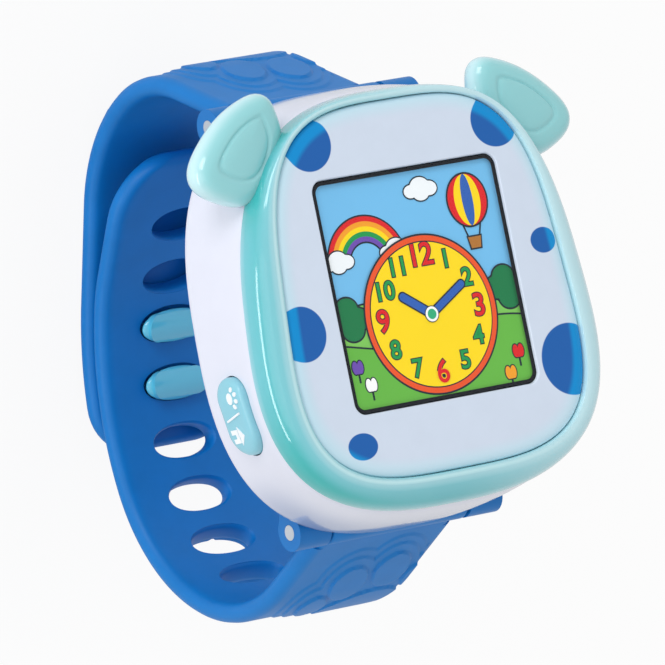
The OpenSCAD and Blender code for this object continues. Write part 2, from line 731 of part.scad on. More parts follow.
sound_r = 0.6;
sound_pitch = 3;
seat_t = 0.9;
seat_h = 1.5;
head_seat_z = back_z + screw_head_t;
module back_cover() {
    color("royalblue") stand() {
        difference() {
            union() {
                difference() {
                    cover_form();
                    loft([for (z = [floor_z, cover_z + over]) [z, grown(case_line, -cover_inset - wall)]]);
                }
                intersection() {
                    cover_form();
                    union() {
                        at_bosses() translate([0, 0, back_z]) cylinder(h = cover_h, r = boss_r);
                        pocket(pocket_r + pocket_wall, lug_gap_w + pocket_wall);
                    }
                }
                translate([-well_w / 2 - well_wall, cell_y - well_h / 2 - well_wall, back_z + door_t])
                    cube([well_w + 2 * well_wall, well_h + 2 * well_wall,
                        well_top + ceiling_t - back_z - door_t]);
                translate([0, door_screw_y, back_z + door_t])
                    cylinder(h = door_seat_t + door_screw_in, r = door_boss_r);
                translate([0, speaker_y, floor_z - over])
                    cylinder(h = seat_h + over, r = speaker_d / 2 + fit + seat_t);
                for (x = around, p = [up_pin, low_pin]) lug(x, p);
            }
            pocket(pocket_r, lug_gap_w);
            for (p = [up_pin, low_pin])
                translate([-lug_gap_w, min(p[0], p[0] + sign(p[0]) * 2 * eye_r), back_z - over])
                cube([2 * lug_gap_w, 2 * eye_r, cover_h + 2 * over]);
            translate([0, speaker_y, floor_z]) cylinder(h = seat_h + over, r = speaker_d / 2 + fit);
            translate([-well_w / 2, cell_y - well_h / 2, back_z - over])
                cube([well_w, well_h, well_top - back_z + over]);
            plate(back_z - over, door_t + over) door_plate(fit);
            door_tabs(fit);
            translate([0, door_screw_y, back_z])
                cylinder(h = door_t + door_screw_in + over, r = small_screw_r - fit);
            translate([0, speaker_y, back_z - over]) {
                cylinder(h = floor_t + 2 * over, r = sound_r);
                for (turn = [0 : 60 : 300]) rotate(turn) translate([sound_pitch, 0, 0])
                    cylinder(h = floor_t + 2 * over, r = sound_r);
            }
            at_bosses() translate([0, 0, back_z - over]) cylinder(h = cover_h + 2 * over, r = screw_r + fit);
            at_bosses() translate([0, 0, back_z - over])
                cylinder(h = head_seat_z - back_z + over, r = screw_head_r + fit);
            for (x = around, p = [up_pin, low_pin]) translate([x * (lug_gap_w + lug_w) / 2, p[0], p[1]])
                rotate([0, 90, 0]) cylinder(h = lug_w, r = pin_r + run_fit / 2, center = true);
        }
    }
}
// a knuckle with the web that joins it to the cover
lug_root = 6.2;
module lug(side, pin) {
    root_y = case_y + sign(pin[0] - case_y) * (case_h - lug_root);
    translate([side > 0 ? lug_gap_w : -lug_w, 0, 0]) rotate([90, 0, 90]) linear_extrude(lug_w - lug_gap_w) {
        translate(pin) circle(eye_r);
        polygon([pin + [0, -eye_r], [root_y, back_z], [root_y, floor_z],
            [pin[0], min(cover_z - fit / 2, pin[1] + eye_r)]]);
    }
}

module case_screws() {
    color("silver") stand() for (p = boss_places)
        screw(p, head_seat_z, screw_head_r, screw_head_t - fit, screw_r,
            cover_z - head_seat_z + case_screw_in);
}
module board_screws() {
    color("silver") stand() for (p = boss_places)
        translate([0, 0, 2 * board_z]) mirror([0, 0, 1])
            screw(p, board_z, small_head_r, small_head_t, small_screw_r, board_z - pilot_turn_z - 2 * fit);
}
module lug_pin(p) {
    stand() translate([0, p[0], p[1]]) rotate([0, 90, 0]) cylinder(h = 2 * lug_w, r = pin_r, center = true);
}
module upper_lug_pin() { color("steelblue") lug_pin(up_pin); }
module lower_lug_pin() { color("steelblue") lug_pin(low_pin); }

// straps

eye_w = lug_gap_w - nest_gap;
neck_run = eye_r + band_t / 2;
rim_turns = [-90 : 30 : 90];
end_turns = [15, 30, 45, 60, 68, 76, 83, 88];
// the strap's section, with full round rims, at a distance from its round end
function end_width(from_end, corner) = band_w - (from_end >= corner ? 0
    : 2 * (corner - sqrt(corner * corner - (corner - from_end) * (corner - from_end))));
function end_thick(from_end) = band_t * (from_end >= band_t / 2 ? 1
    : sqrt(1 - pow(1 - from_end / (band_t / 2), 2)));
function band_section(from_end, corner) =
    let(t = end_thick(from_end), side = (end_width(from_end, corner) - band_t) / 2)
    concat([for (a = rim_turns) [side + band_t / 2 * cos(a), t / 2 * sin(a)]],
        [for (a = rim_turns) [-side - band_t / 2 * cos(a), -t / 2 * sin(a)]]);
// lengths from a round end at which its sections stand, nearest first
function end_runs(corner) = [for (i = [len(end_turns) - 1 : -1 : 0]) corner * (1 - sin(end_turns[i]))];
module eye() {
    rotate([0, 90, 0]) cylinder(h = 2 * eye_w, r = eye_r, center = true);
}
module eye_bore() {
    rotate([0, 90, 0]) cylinder(h = band_w + 2 * over, r = pin_r + run_fit, center = true);
}
// narrow stretch of the strap between the knuckles, ahead of the pin
module strap_neck() {
    translate([-eye_w, 0, -band_t / 2]) cube([2 * eye_w, neck_run, band_t]);
}
// cuts the full width away beside the eye
module beside_eye() {
    for (x = [0, 1]) mirror([x, 0, 0])
        translate([eye_w, -2 * eye_r, -2 * eye_r]) cube([band_w, 2 * eye_r + neck_run, 4 * eye_r]);
}
// a paw print: each pad as shares of the size: across, along, width, length
pad_shares = [[-0.2, 0, 0.35, 0.56], [0.2, 0, 0.35, 0.56], [-0.48, 0.29, 0.27, 0.43],
    [0.48, 0.29, 0.27, 0.43], [0, 0.56, 0.76, 0.53]];
paw_turn = -16.5;
paw_x = 2.2;
pad_sides = 20;
paw_middle_share = 0.29;
paw_middle = paw_middle_share * paw_size;
module oval(w, l) {
    polygon([for (i = [0 : pad_sides - 1])
        [w / 2 * cos(360 * i / pad_sides), l / 2 * sin(360 * i / pad_sides)]]);
}
module paw(side, by) {
    translate([side * paw_x, -paw_middle, -2 * band_t]) rotate(side * paw_turn) linear_extrude(4 * band_t)
        for (s = pad_shares) translate([s[0] * paw_size, s[1] * paw_size])
            oval(s[2] * paw_size + 2 * by, s[3] * paw_size + 2 * by);
}

peg_runs = [for (i = [4, 5]) hole_first + i * hole_pitch];
hole_count = 8;
hole_runs = [for (i = [0 : hole_count - 1]) hole_first + i * hole_pitch];
rim_depth = 0.3;
// levels of a paw print, as shares of its rise and of its terrace
paw_level_shares = [[0.3, 1], [0.6, 0.55], [1, 0]];
low_length = path_length(low_path);
low_ends = end_runs(tail_corner);
low_runs = concat(leg_runs(low_path, 0, 4), [low_length - tail_corner],
    [for (i = [len(low_ends) - 1 : -1 : 0]) low_length - low_ends[i]]);
module strap_lower() {
    color("royalblue") stand() difference() {
        union() {
            swept(low_path, low_runs, [for (run = low_runs) band_section(low_length - run, tail_corner)]);
            place_at([low_pin, low_heading]) eye();
            for (i = [0, 1]) for (s = paw_level_shares)
                intersection() {
                    layer(low_path, 0, 2, band_w - band_t, 0, band_t / 2 + s[0] * paw_rise);
                    place_at(at_run(low_path, paw_from + paw_middle + i * low_paw_pitch))
                        paw(1 - 2 * i, s[1] * paw_terrace);
                }
        }
        place_at([low_pin, low_heading]) {
            eye_bore();
            beside_eye();
        }
        for (run = hole_runs) {
            q = at_run(low_path, run);
            upright = run == peg_runs[0] || run == peg_runs[1];
            place_at([q[0], upright ? 0 : q[1]]) translate([0, 0, -2 * band_t])
                linear_extrude(4 * band_t) stadium(hole_w, hole_l);
            place_at(q) translate([0, 0, band_t / 2 - rim_depth])
                linear_extrude(band_t) stadium(hole_w + 2 * hole_rim, hole_l + 2 * hole_rim);
        }
    }
}

// clasp: a plate sunk into the upper strap, two necks through both straps, domed heads

peg_mid = (at_run(low_path, peg_runs[0])[1] + at_run(low_path, peg_runs[1])[1]) / 2 - 360;
plate_run = tip_run + (peg_mid - tip_heading) * PI / 180 * out_nest_r;
plate_sunk = plate_t - plate_proud;
head_gap = 0.3;
dome_r = (head_l * head_l / 4 + head_rise * head_rise / 4) / head_rise;
module plate_form(by, in, out) {
    intersection() {
        layer(up_path, 0, 1, band_w, band_t / 2 - in, band_t / 2 + out);
        place_at(at_run(up_path, plate_run)) translate([0, 0, -3 * band_t]) linear_extrude(3 * band_t)
            rounded(plate_w + 2 * by, plate_l + 2 * by, plate_w / 4);
    }
}
// a neck's outline at a hole, pulled out from just above the lower strap down to the plate
module necks(by, up, down) {
    for (run = peg_runs) {
        q = at_run(low_path, run);
        drop = (down + nest_gap + band_t / 2) / cos(q[1]);
        translate([0, q[0][0], q[0][1] - drop]) linear_extrude(drop + up / cos(q[1]))
            stadium(neck_w + 2 * by, neck_l + 2 * by);
    }
}
module peg_head() {
    intersection() {
        linear_extrude(head_rise) stadium(head_w, head_l);
        translate([0, 0, head_rise - dome_r]) rotate([0, 90, 0]) cylinder(h = head_w, r = dome_r, center = true);
    }
}
module strap_clasp() {
    color("mediumturquoise") stand() {
        plate_form(0, plate_sunk, plate_proud);
        necks(0, band_t / 2 + head_gap + head_rise / 2, band_t - plate_sunk / 2);
        for (run = peg_runs) {
            q = at_run(low_path, run);
            place_at([q[0] + [0, (band_t / 2 + head_gap) / cos(q[1])], q[1]]) peg_head();
        }
    }
}
up_runs = concat(end_runs(tip_r), [tip_r], leg_runs(up_path, 1, 5));
// the side of the rest plane on which the raised paws stay
module above_rest() {
    place_at([rest_middle, lean]) translate([-band_w, -up_length, fit])
        cube([2 * band_w, 2 * up_length, up_length]);
}
module strap_upper() {
    color("royalblue") stand() difference() {
        union() {
            swept(up_path, up_runs, [for (run = up_runs) band_section(run, tip_r)]);
            place_at([up_pin, up_heading]) eye();
            for (i = [0, 1]) for (s = paw_level_shares)
                intersection() {
                    layer(up_path, 3, 5, band_w - band_t, 0, band_t / 2 + s[0] * paw_rise);
                    above_rest();
                    place_at(at_run(up_path, up_length - paw_from - paw_middle - i * up_paw_pitch))
                        mirror([0, 1, 0]) paw(1 - 2 * i, s[1] * paw_terrace);
                }
        }
        place_at([up_pin, up_heading]) mirror([0, 1, 0]) {
            eye_bore();
            beside_eye();
        }
        plate_form(fit, plate_sunk + run_fit, over);
        necks(run_fit, 0, band_t);
    }
}

case_shell();
light_ring();
front_panel();
window_lens();
lcd_gasket();
lcd_glass();
lcd_frame();
lcd_flex();
main_board();
board_chips();
ring_leds();
tact_switches();
home_button();
select_button();
speaker();
button_cells();
battery_contacts();
battery_door();
door_screw();
back_cover();
case_screws();
board_screws();
upper_lug_pin();
lower_lug_pin();
strap_upper();
strap_lower();
strap_clasp();
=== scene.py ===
import bpy
import bmesh
from math import atan2, copysign, cos, degrees, hypot, pi, radians, sin, sqrt
from mathutils import Matrix, Vector


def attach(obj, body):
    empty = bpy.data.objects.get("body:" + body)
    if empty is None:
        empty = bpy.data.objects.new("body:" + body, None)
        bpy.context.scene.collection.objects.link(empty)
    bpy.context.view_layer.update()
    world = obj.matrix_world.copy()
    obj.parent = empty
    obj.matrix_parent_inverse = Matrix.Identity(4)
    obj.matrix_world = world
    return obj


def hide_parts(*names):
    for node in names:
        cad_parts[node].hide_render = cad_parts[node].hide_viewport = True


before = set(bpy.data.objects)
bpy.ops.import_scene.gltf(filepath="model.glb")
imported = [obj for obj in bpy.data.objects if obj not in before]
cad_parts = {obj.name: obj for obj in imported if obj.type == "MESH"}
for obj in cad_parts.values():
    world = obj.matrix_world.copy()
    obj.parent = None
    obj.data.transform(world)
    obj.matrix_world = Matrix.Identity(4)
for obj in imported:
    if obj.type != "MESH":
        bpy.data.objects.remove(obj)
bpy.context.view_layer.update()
print("toy watch: frame loaded")

# everything is drawn in watch axes in millimetres: x to 3 o'clock, y to 12 o'clock,
# z out of the display, from the middle of the window; standMatrix puts it in the frame
stance = {"lean": 23.0, "restY": 12.54242, "restZ": -54.63803}
standMatrix = (Matrix.Scale(0.001, 4) @ Matrix.Rotation(radians(-stance["lean"]), 4, "X")
               @ Matrix.Translation((0, -stance["restY"], -stance["restZ"])))


# small tools

def deselectAll():
    if bpy.context.object and bpy.context.object.mode != "OBJECT":
        bpy.ops.object.mode_set(mode="OBJECT")
    bpy.ops.object.select_all(action="DESELECT")


def pick(piece):
    deselectAll()
    piece.select_set(True)
    bpy.context.view_layer.objects.active = piece


def loftPiece(name, rings, capped=True):
    # a circle extruded ring by ring, each ring set to its outline
    deselectAll()
    bpy.ops.mesh.primitive_circle_add(vertices=len(rings[0]), radius=1, fill_type="NOTHING")
    piece = bpy.context.object
    piece.name = name
    bpy.ops.object.mode_set(mode="EDIT")
    mesh = bmesh.from_edit_mesh(piece.data)
    mesh.verts.ensure_lookup_table()
    loop = list(range(len(rings[0])))
    for i, p in zip(loop, rings[0]):
        mesh.verts[i].co = p
    for ring in rings[1:]:
        bpy.ops.mesh.extrude_region_move()
        mesh = bmesh.from_edit_mesh(piece.data)
        mesh.verts.ensure_lookup_table()
        mesh.verts.index_update()
        loop = [next(e.other_vert(mesh.verts[i]).index for e in mesh.verts[i].link_edges
                     if e.other_vert(mesh.verts[i]).select) for i in loop]
        for i, p in zip(loop, ring):
            mesh.verts[i].co = p
    if capped:
        bpy.ops.mesh.edge_face_add()
        bpy.ops.mesh.select_all(action="DESELECT")
        mesh = bmesh.from_edit_mesh(piece.data)
        mesh.verts.ensure_lookup_table()
        for vert in mesh.verts[:len(rings[0])]:
            vert.select = True
        mesh.select_flush(True)
        bpy.ops.mesh.edge_face_add()
    bpy.ops.mesh.select_all(action="SELECT")
    bpy.ops.mesh.normals_make_consistent(inside=False)
    bpy.ops.object.mode_set(mode="OBJECT")
    return piece


def loftLoop(name, rings):
    # one closed skin: after its last ring the loft goes on to its first
    piece = loftPiece(name, rings + [rings[0]], capped=False)
    pick(piece)
    bpy.ops.object.mode_set(mode="EDIT")
    bpy.ops.mesh.select_all(action="SELECT")
    bpy.ops.mesh.remove_doubles(threshold=0.001)
    bpy.ops.mesh.normals_make_consistent(inside=False)
    bpy.ops.object.mode_set(mode="OBJECT")
    return piece


def applyModifier(piece, kind, **settings):
    pick(piece)
    modifier = piece.modifiers.new(kind.lower(), kind)
    for key, value in settings.items():
        setattr(modifier, key, value)
    bpy.ops.object.modifier_apply(modifier=modifier.name)


def cutAway(piece, cutter, folded=False):
    applyModifier(piece, "BOOLEAN", object=cutter, operation="DIFFERENCE", solver="EXACT",
                  use_self=folded)
    bpy.data.objects.remove(cutter, do_unlink=True)


def joinPieces(name, parts):
    deselectAll()
    for part in parts:
        part.select_set(True)
    bpy.context.view_layer.objects.active = parts[0]
    bpy.ops.object.join()
    parts[0].name = name
    return parts[0]


def bakePlace(piece):
    pick(piece)
    bpy.ops.object.transform_apply(location=True, rotation=True, scale=True)


def finishPiece(piece, body, finish, nodes, smoothAngle):
    pick(piece)
    piece.data.transform(standMatrix)
    bpy.ops.object.shade_smooth_by_angle(angle=radians(smoothAngle))
    if finish:
        piece.data.materials.clear()
        piece.data.materials.append(materials[finish])
    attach(piece, body)
    if nodes:
        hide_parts(*nodes)


# outlines, as the solids have them

def power(value, exponent):
    return copysign(abs(value) ** exponent, value)


def lineRing(line, z, count=128):
    w, h, middle, square, pear = line
    ring = []
    for i in range(count):
        t = 2 * pi * i / count
        up = power(sin(t), 2 / square)
        ring.append((w * power(cos(t), 2 / square) * (1 - pear * up), middle + h * up, z))
    return ring


def grown(line, by):
    return (line[0] + by, line[1] + by) + tuple(line[2:])


def mixed(a, b, share):
    return tuple(p + (q - p) * share for p, q in zip(a, b))


# half width, half height, middle, squareness and pear shape of each outline
panelLine = (19.7, 21.5, 0, 3.5, 0.085)
ringLine = (23.45, 24.15, -1.15, 2.7, 0.1)
caseLine = (23.5, 25.55, -1.25, 2.7, 0.03)
ringZ, coverZ = -3.3, -13.9


def caseLineAt(z):
    share = (z - coverZ) / (ringZ - coverZ)
    return mixed(caseLine, ringLine, share * share)


def caseHalfWidth(y, z):
    w, h, middle, square, pear = caseLineAt(z)
    up = (y - middle) / h
    return w * (1 - pear * up) * (1 - abs(up) ** square) ** (1 / square)


# colours and materials

def colour(code):
    values = [int(code[i:i + 2], 16) / 255 for i in (1, 3, 5)]
    return tuple(v / 12.92 if v <= 0.04045 else ((v + 0.055) / 1.055) ** 2.4
                 for v in values) + (1,)


def addNode(tree, kind, **inputs):
    node = tree.nodes.new(kind)
    for key, value in inputs.items():
        node.inputs[key].default_value = value
    return node


def link(source, target):
    source.id_data.links.new(source, target)


def shaderOf(material):
    return material.node_tree.nodes["Principled BSDF"]


def newMaterial(name, settings):
    material = bpy.data.materials.new(name)
    material.use_nodes = True
    for key, value in settings.items():
        shaderOf(material).inputs[key].default_value = value
    return material


def watchCoordinates(material):
    # object coordinates turned back to watch axes in millimetres
    place = addNode(material.node_tree, "ShaderNodeTexCoord")
    turn = addNode(material.node_tree, "ShaderNodeMapping", Scale=(1000, 1000, 1000),
                   Rotation=(radians(stance["lean"]), 0, 0),
                   Location=(0, stance["restY"], stance["restZ"]))
    link(place.outputs["Object"], turn.inputs["Vector"])
    return turn.outputs["Vector"]


def axesOf(where):
    parts = addNode(where.id_data, "ShaderNodeSeparateXYZ")
    link(where, parts.inputs["Vector"])
    return parts.outputs


def mapRange(value, low, high, toLow=0.0, toHigh=1.0, smooth=True):
    change = addNode(value.id_data, "ShaderNodeMapRange", **{
        "From Min": low, "From Max": high, "To Min": toLow, "To Max": toHigh})
    if smooth:
        change.interpolation_type = "SMOOTHSTEP"
    link(value, change.inputs["Value"])
    return change.outputs["Result"]


def calculate(operation, first, *others):
    result = addNode(first.id_data, "ShaderNodeMath")
    result.operation = operation
    for socket, value in zip(result.inputs, (first, *others)):
        if isinstance(value, (int, float)):
            socket.default_value = value
        else:
            link(value, socket)
    return result.outputs["Value"]


def mixColour(factor, first, second):
    mix = addNode(factor.id_data, "ShaderNodeMix")
    mix.data_type = "RGBA"
    link(factor, mix.inputs["Factor"])
    for socket, value in ((mix.inputs[6], first), (mix.inputs[7], second)):
        if isinstance(value, str):
            socket.default_value = colour(value)
        else:
            link(value, socket)
    return mix.outputs[2]


def vectorMath(where, operation, second):
    node = addNode(where.id_data, "ShaderNodeVectorMath")
    node.operation = operation
    node.inputs[1].default_value = second
    link(where, node.inputs[0])
    return node.outputs["Value" if operation == "DISTANCE" else "Vector"]


def greatest(shares):
    most = shares[0]
    for share in shares[1:]:
        most = calculate("MAXIMUM", most, share)
    return most


def plasticMaterial(name, code, roughness=0.3, grain=0.5, bump=0.05, mottle=0.04, coat=0.0,
                    subsurface=0.0, metallic=0.0, specular=0.5):
    # moulded finish: faint mottle in the colour, fine grain in gloss and surface
    material = newMaterial(name, {
        "Metallic": metallic, "Specular IOR Level": specular, "Coat Weight": coat,
        "Coat Roughness": 0.04, "Subsurface Weight": subsurface,
        "Subsurface Radius": (0.004, 0.004, 0.004), "Subsurface Scale": 1.0})
    tree, inputs = material.node_tree, shaderOf(material).inputs
    where = watchCoordinates(material)
    cloud = addNode(tree, "ShaderNodeTexNoise", Scale=0.25, Detail=3.0, Roughness=0.6)
    link(where, cloud.inputs["Vector"])
    ramp = addNode(tree, "ShaderNodeValToRGB")
    for end, place, share in zip(ramp.color_ramp.elements, (0.3, 0.7), (1 - mottle, 1 + mottle)):
        end.position = place
        end.color = tuple(min(1, c * share) for c in colour(code)[:3]) + (1,)
    link(cloud.outputs["Fac"], ramp.inputs["Fac"])
    link(ramp.outputs["Color"], inputs["Base Color"])
    fine = addNode(tree, "ShaderNodeTexNoise", Scale=6 * grain, Detail=4.0, Roughness=0.7)
    link(where, fine.inputs["Vector"])
    link(mapRange(fine.outputs["Fac"], 0.0, 1.0, max(0.02, roughness - 0.05), roughness + 0.07,
                  smooth=False), inputs["Roughness"])
    relief = addNode(tree, "ShaderNodeBump", Strength=bump, Distance=0.0001)
    link(fine.outputs["Fac"], relief.inputs["Height"])
    link(relief.outputs["Normal"], inputs["Normal"])
    return material


def plainOf(material):
    # the mottled tone that plasticMaterial made, and where it goes
    target = shaderOf(material).inputs["Base Color"]
    return target.links[0].from_socket, target


def discMask(where, spots, softness):
    # 1 inside any of the spots, each given as x, y, half width and half height
    shares = []
    for x, y, r, h in spots:
        level = vectorMath(where, "MULTIPLY", (1, r / h, 0))
        gap = vectorMath(level, "DISTANCE", (x, y * r / h, 0))
        shares.append(mapRange(gap, r - softness, r + softness, 1.0, 0.0, smooth=False))
    return greatest(shares)


def outlineShare(where, line):
    # 0 at the middle of the face, 1 on the given outline
    w, h, middle, square, pear = line
    axes = axesOf(where)
    up = calculate("DIVIDE", calculate("SUBTRACT", axes["Y"], middle), h)
    wide = calculate("MULTIPLY_ADD", up, -w * pear, w)
    across = calculate("DIVIDE", calculate("ABSOLUTE", axes["X"]), wide)
    total = calculate("ADD", calculate("POWER", across, square),
                      calculate("POWER", calculate("ABSOLUTE", up), square))
    return calculate("POWER", total, 1 / square)


# the wall's own white, then a painted shade low down near the strap and the heights where it fades
# in
shellToneAndShade = {"plain": "#e0e3f1", "low": "#9aa9cb", "shadeY": (-17, -25), "shadeZ": (-4.5, -12)}


def makeShellMaterial():
    # the glossy white wall, with painted shade low down at the 6 o'clock side near the strap
    material = plasticMaterial("shellWhite", shellToneAndShade["plain"], roughness=0.15, bump=0.012,
                               mottle=0.01, coat=0.5)
    plain, target = plainOf(material)
    axes = axesOf(watchCoordinates(material))
    # painted shade: darker towards the bottom edge at the 6 o'clock side
    low = calculate("MULTIPLY", mapRange(axes["Y"], *shellToneAndShade["shadeY"]),
                    mapRange(axes["Z"], *shellToneAndShade["shadeZ"]))
    link(mixColour(low, plain, shellToneAndShade["low"]), target)
    return material


# the rim's and the spots' brighter tones begin and end at these shares of the outline
panelTone = {"plain": "#dae6f7", "rim": "#cdebf9", "rimShares": (0.89, 0.985),
             "spot": "#1d64b4", "spotRim": "#0094dc", "spotShares": (0.91, 0.945),
             "softness": 0.05,
             "spots": [(-12.4, 17.8, 3.2, 3.1), (13.9, 17.1, 3.3, 3.1), (-18.2, -3.3, 3.2, 3.2),
                       (17.4, 2.5, 1.8, 1.5), (18.0, -11.6, 4.2, 4.2),
                       (-13.1, -17.05, 2.05, 1.55)]}


def makePanelMaterial():
    # pale face, lit at its rim, where the spots turn brighter too
    material = plasticMaterial("panelPrint", panelTone["plain"], roughness=0.32, bump=0.02,
                               mottle=0.015, specular=0.25)
    plain, target = plainOf(material)
    where = watchCoordinates(material)
    edge = outlineShare(where, panelLine)
    face = mixColour(mapRange(edge, *panelTone["rimShares"]), plain, panelTone["rim"])
    spot = mixColour(mapRange(edge, *panelTone["spotShares"]), panelTone["spot"],
                     panelTone["spotRim"])
    mask = discMask(where, panelTone["spots"], panelTone["softness"])
    link(mixColour(mask, face, spot), target)
    return material


# tones from the lip at the panel down to the foot, each at its share of the way: a painted
# highlight at the lip, a painted glow at the foot
ringToneAndLight = {"top": 0.3, "bottom": -3.4, "lip": "#d2f8fd", "foot": "#a2d7e5",
            "between": [(0.008, "#a2d8e2"), (0.06, "#7cc9d3"), (0.35, "#5bbdc5"),
                        (0.75, "#6cc2cd")],
            # painted shade at the corners, then a painted lighter side to the right
            "cornerShade": "#22b2ae", "cornerShadeShare": 0.85, "cornerShadeEnd": 0.45, "cornerZ": -2.5,
            "corners": [(-19.0, -20.5, 14.5), (-21.5, 14.5, 7.0), (-14.0, 21.5, 6.5),
                        (17.5, 21.5, 6.0)],
            "pale": "#c4ebf4", "paleShare": 0.92, "paleEnds": (-10, 17), "paleSlope": 0.25}


def makeRingMaterial():
    # clear mint plastic with painted light: a painted highlight at the lip, a painted glow at the
    # foot, deeper mint between, painted shade deepest at its corners and a painted lighter side to
    # the right
    material = plasticMaterial("ringMint", "#93d4d8", roughness=0.1, bump=0.02, mottle=0.02,
                               coat=0.8, subsurface=0.2)
    where = watchCoordinates(material)
    axes = axesOf(where)
    depth = mapRange(axes["Z"], ringToneAndLight["top"], ringToneAndLight["bottom"], smooth=False)
    ramp = addNode(material.node_tree, "ShaderNodeValToRGB")
    ramp.color_ramp.elements[0].color = colour(ringToneAndLight["lip"])
    ramp.color_ramp.elements[1].color = colour(ringToneAndLight["foot"])
    for place, code in ringToneAndLight["between"]:
        ramp.color_ramp.elements.new(place).color = colour(code)
    link(depth, ramp.inputs["Fac"])
    # painted shade: deeper mint at the corners, low on the ring
    band = mapRange(depth, 0.0, ringToneAndLight["cornerShadeEnd"])
    corners = greatest([
        mapRange(vectorMath(where, "DISTANCE", (x, y, ringToneAndLight["cornerZ"])), r, 1.0)
        for x, y, r in ringToneAndLight["corners"]])
    cornerShade = calculate("MULTIPLY", calculate("MULTIPLY", band, corners), ringToneAndLight["cornerShadeShare"])
    # painted light: the ring turns paler toward its right side
    far = calculate("MULTIPLY_ADD", axes["Y"], ringToneAndLight["paleSlope"], axes["X"])
    right = mapRange(far, *ringToneAndLight["paleEnds"], toHigh=ringToneAndLight["paleShare"])
    tone = mixColour(right, ramp.outputs["Color"], ringToneAndLight["pale"])
    link(mixColour(cornerShade, tone, ringToneAndLight["cornerShade"]), shaderOf(material).inputs["Base Color"])
    return material


# a painted highlight on the ear's edge, its mint middle, and the heights between them
earToneAndHighlight = {"edge": "#c6ecf2", "middle": "#95d6da", "riseZ": (-2.95, -1.5)}


def makeEarMaterial():
    # the same plastic on the ears: a painted highlight pale round the edge, soft mint in the middle
    material = plasticMaterial("earMint", "#93d4d8", roughness=0.14, bump=0.02, mottle=0.02,
                               coat=0.6, subsurface=0.2)
    rise = mapRange(axesOf(watchCoordinates(material))["Z"], *earToneAndHighlight["riseZ"])
    link(mixColour(rise, earToneAndHighlight["edge"], earToneAndHighlight["middle"]),
         shaderOf(material).inputs["Base Color"])
    return material


materials = {
    "shell": makeShellMaterial(),
    "silicone": plasticMaterial("siliconeBlue", "#0a77c5", roughness=0.43, grain=1.4,
                                specular=0.3),
    "blue": plasticMaterial("backBlue", "#0a72bf", roughness=0.4, grain=1.0, bump=0.04,
                            mottle=0.03, specular=0.35),
    "teal": plasticMaterial("tealGloss", "#5fcae4", roughness=0.12, bump=0.02, mottle=0.02,
                            coat=0.7),
    "cap": plasticMaterial("capTeal", "#8acbdc", roughness=0.2, bump=0.02, mottle=0.02,
                           coat=0.3),
    "icon": plasticMaterial("iconWhite", "#f2f7fb", roughness=0.4, bump=0.02, mottle=0.01),
    "steel": plasticMaterial("pinSteel", "#dde3ea", grain=2.0, metallic=1.0),
    "black": plasticMaterial("borderBlack", "#090c15", roughness=0.5, mottle=0.05,
                             specular=0.03),
    "board": plasticMaterial("boardGreen", "#1f6b3a", roughness=0.45),
    "brass": plasticMaterial("contactBrass", "#c9a04a", roughness=0.35, metallic=1.0),
    "tray": plasticMaterial("trayWhite", "#eceef0", roughness=0.5),
    "film": plasticMaterial("flexAmber", "#b0741e", roughness=0.4),
    "panel": makePanelMaterial(),
    "ring": makeRingMaterial(),
    "ear": makeEarMaterial(),
}

materials["glass"] = newMaterial("windowClear", {
    "Base Color": (0.9, 0.95, 1, 1), "Roughness": 0.04, "Alpha": 0.03, "Specular IOR Level": 0.25})
print("toy watch: materials made")


# paths of the straps, as the solids have them

def ahead(heading):
    return Vector((cos(radians(heading)), sin(radians(heading))))


def aside(heading):
    return Vector((-sin(radians(heading)), cos(radians(heading))))


def moved(point, heading, run, turn):
    if turn == 0:
        return point + run * ahead(heading)
    r = run / radians(turn)
    return point + r * (aside(heading) - aside(heading + turn))


def bend(r, turn):
    return (r * radians(turn), turn)


def lengthOf(legs):
    return sum(length for length, turn in legs)


def pathAt(path, run):
    point, heading, legs = path
    for i, (length, turn) in enumerate(legs):
        if run <= length or i == len(legs) - 1:
            return moved(point, heading, run, turn * run / length), heading + turn * run / length
        point, heading, run = moved(point, heading, length, turn), heading + turn, run - length


# each bend of a path is given by its radius and its turn in degrees
strap = {"width": 20.2, "thick": 2.4, "gap": 0.35, "eye": 2.2, "eyeHalf": 9.7, "eyeReach": 3.4,
         "eyeRound": 0.35, "tailCorner": 8.0, "tipCorner": 6.0,
         "holeFirst": 33.7, "holePitch": 7.0, "holeCount": 8, "pegHoles": (4, 5),
         "holeWidth": 8.5, "holeLength": 3.9,
         "holeEdge": [(0.7, 0.0), (0.95, 0.07), (1.12, 0.18), (1.25, 0.3), (2.6, 0.4)],
         "columns": 96, "rimSteps": 8, "endSteps": 16, "endSpread": 1.6,
         "rootRuns": [0, 1.2, 2.4, 3.38, 3.42],
         "runs": [(3.6, 0.24, 96), (26.8, 0.36, 78), (55, 1.2, 40)]}
curves = {"nest": 39.5, "nestTurn": 32.2, "lowHeading": 244.0, "root": 13.7,
          "lowBends": [(18.8, 56.2), (20.6, 50.6)], "lowLast": (20, 12.5), "tail": 15.9,
          "upHeading": 6.5, "tip": 6.5, "upNestTurn": 16.5, "flat": 12.5, "upBend": (20, 43),
          "upLast": 14.7}
upPin, lowPin = Vector((22.5, -16.0)), Vector((-24.9, -16.0))
insideR = curves["nest"] - (strap["thick"] + strap["gap"]) / 2
outsideR = curves["nest"] + (strap["thick"] + strap["gap"]) / 2
lowLegs = ([(curves["root"], 0)] + [bend(*pair) for pair in curves["lowBends"]]
           + [bend(insideR, curves["nestTurn"]), bend(*curves["lowLast"]), (curves["tail"], 0)])
lowPath = (lowPin, curves["lowHeading"], lowLegs)
beforeNest = lowLegs[:3]
nestStart, nestHeading = pathAt((lowPin, curves["lowHeading"], beforeNest), lengthOf(beforeNest))
nestMiddle = nestStart + insideR * aside(nestHeading)


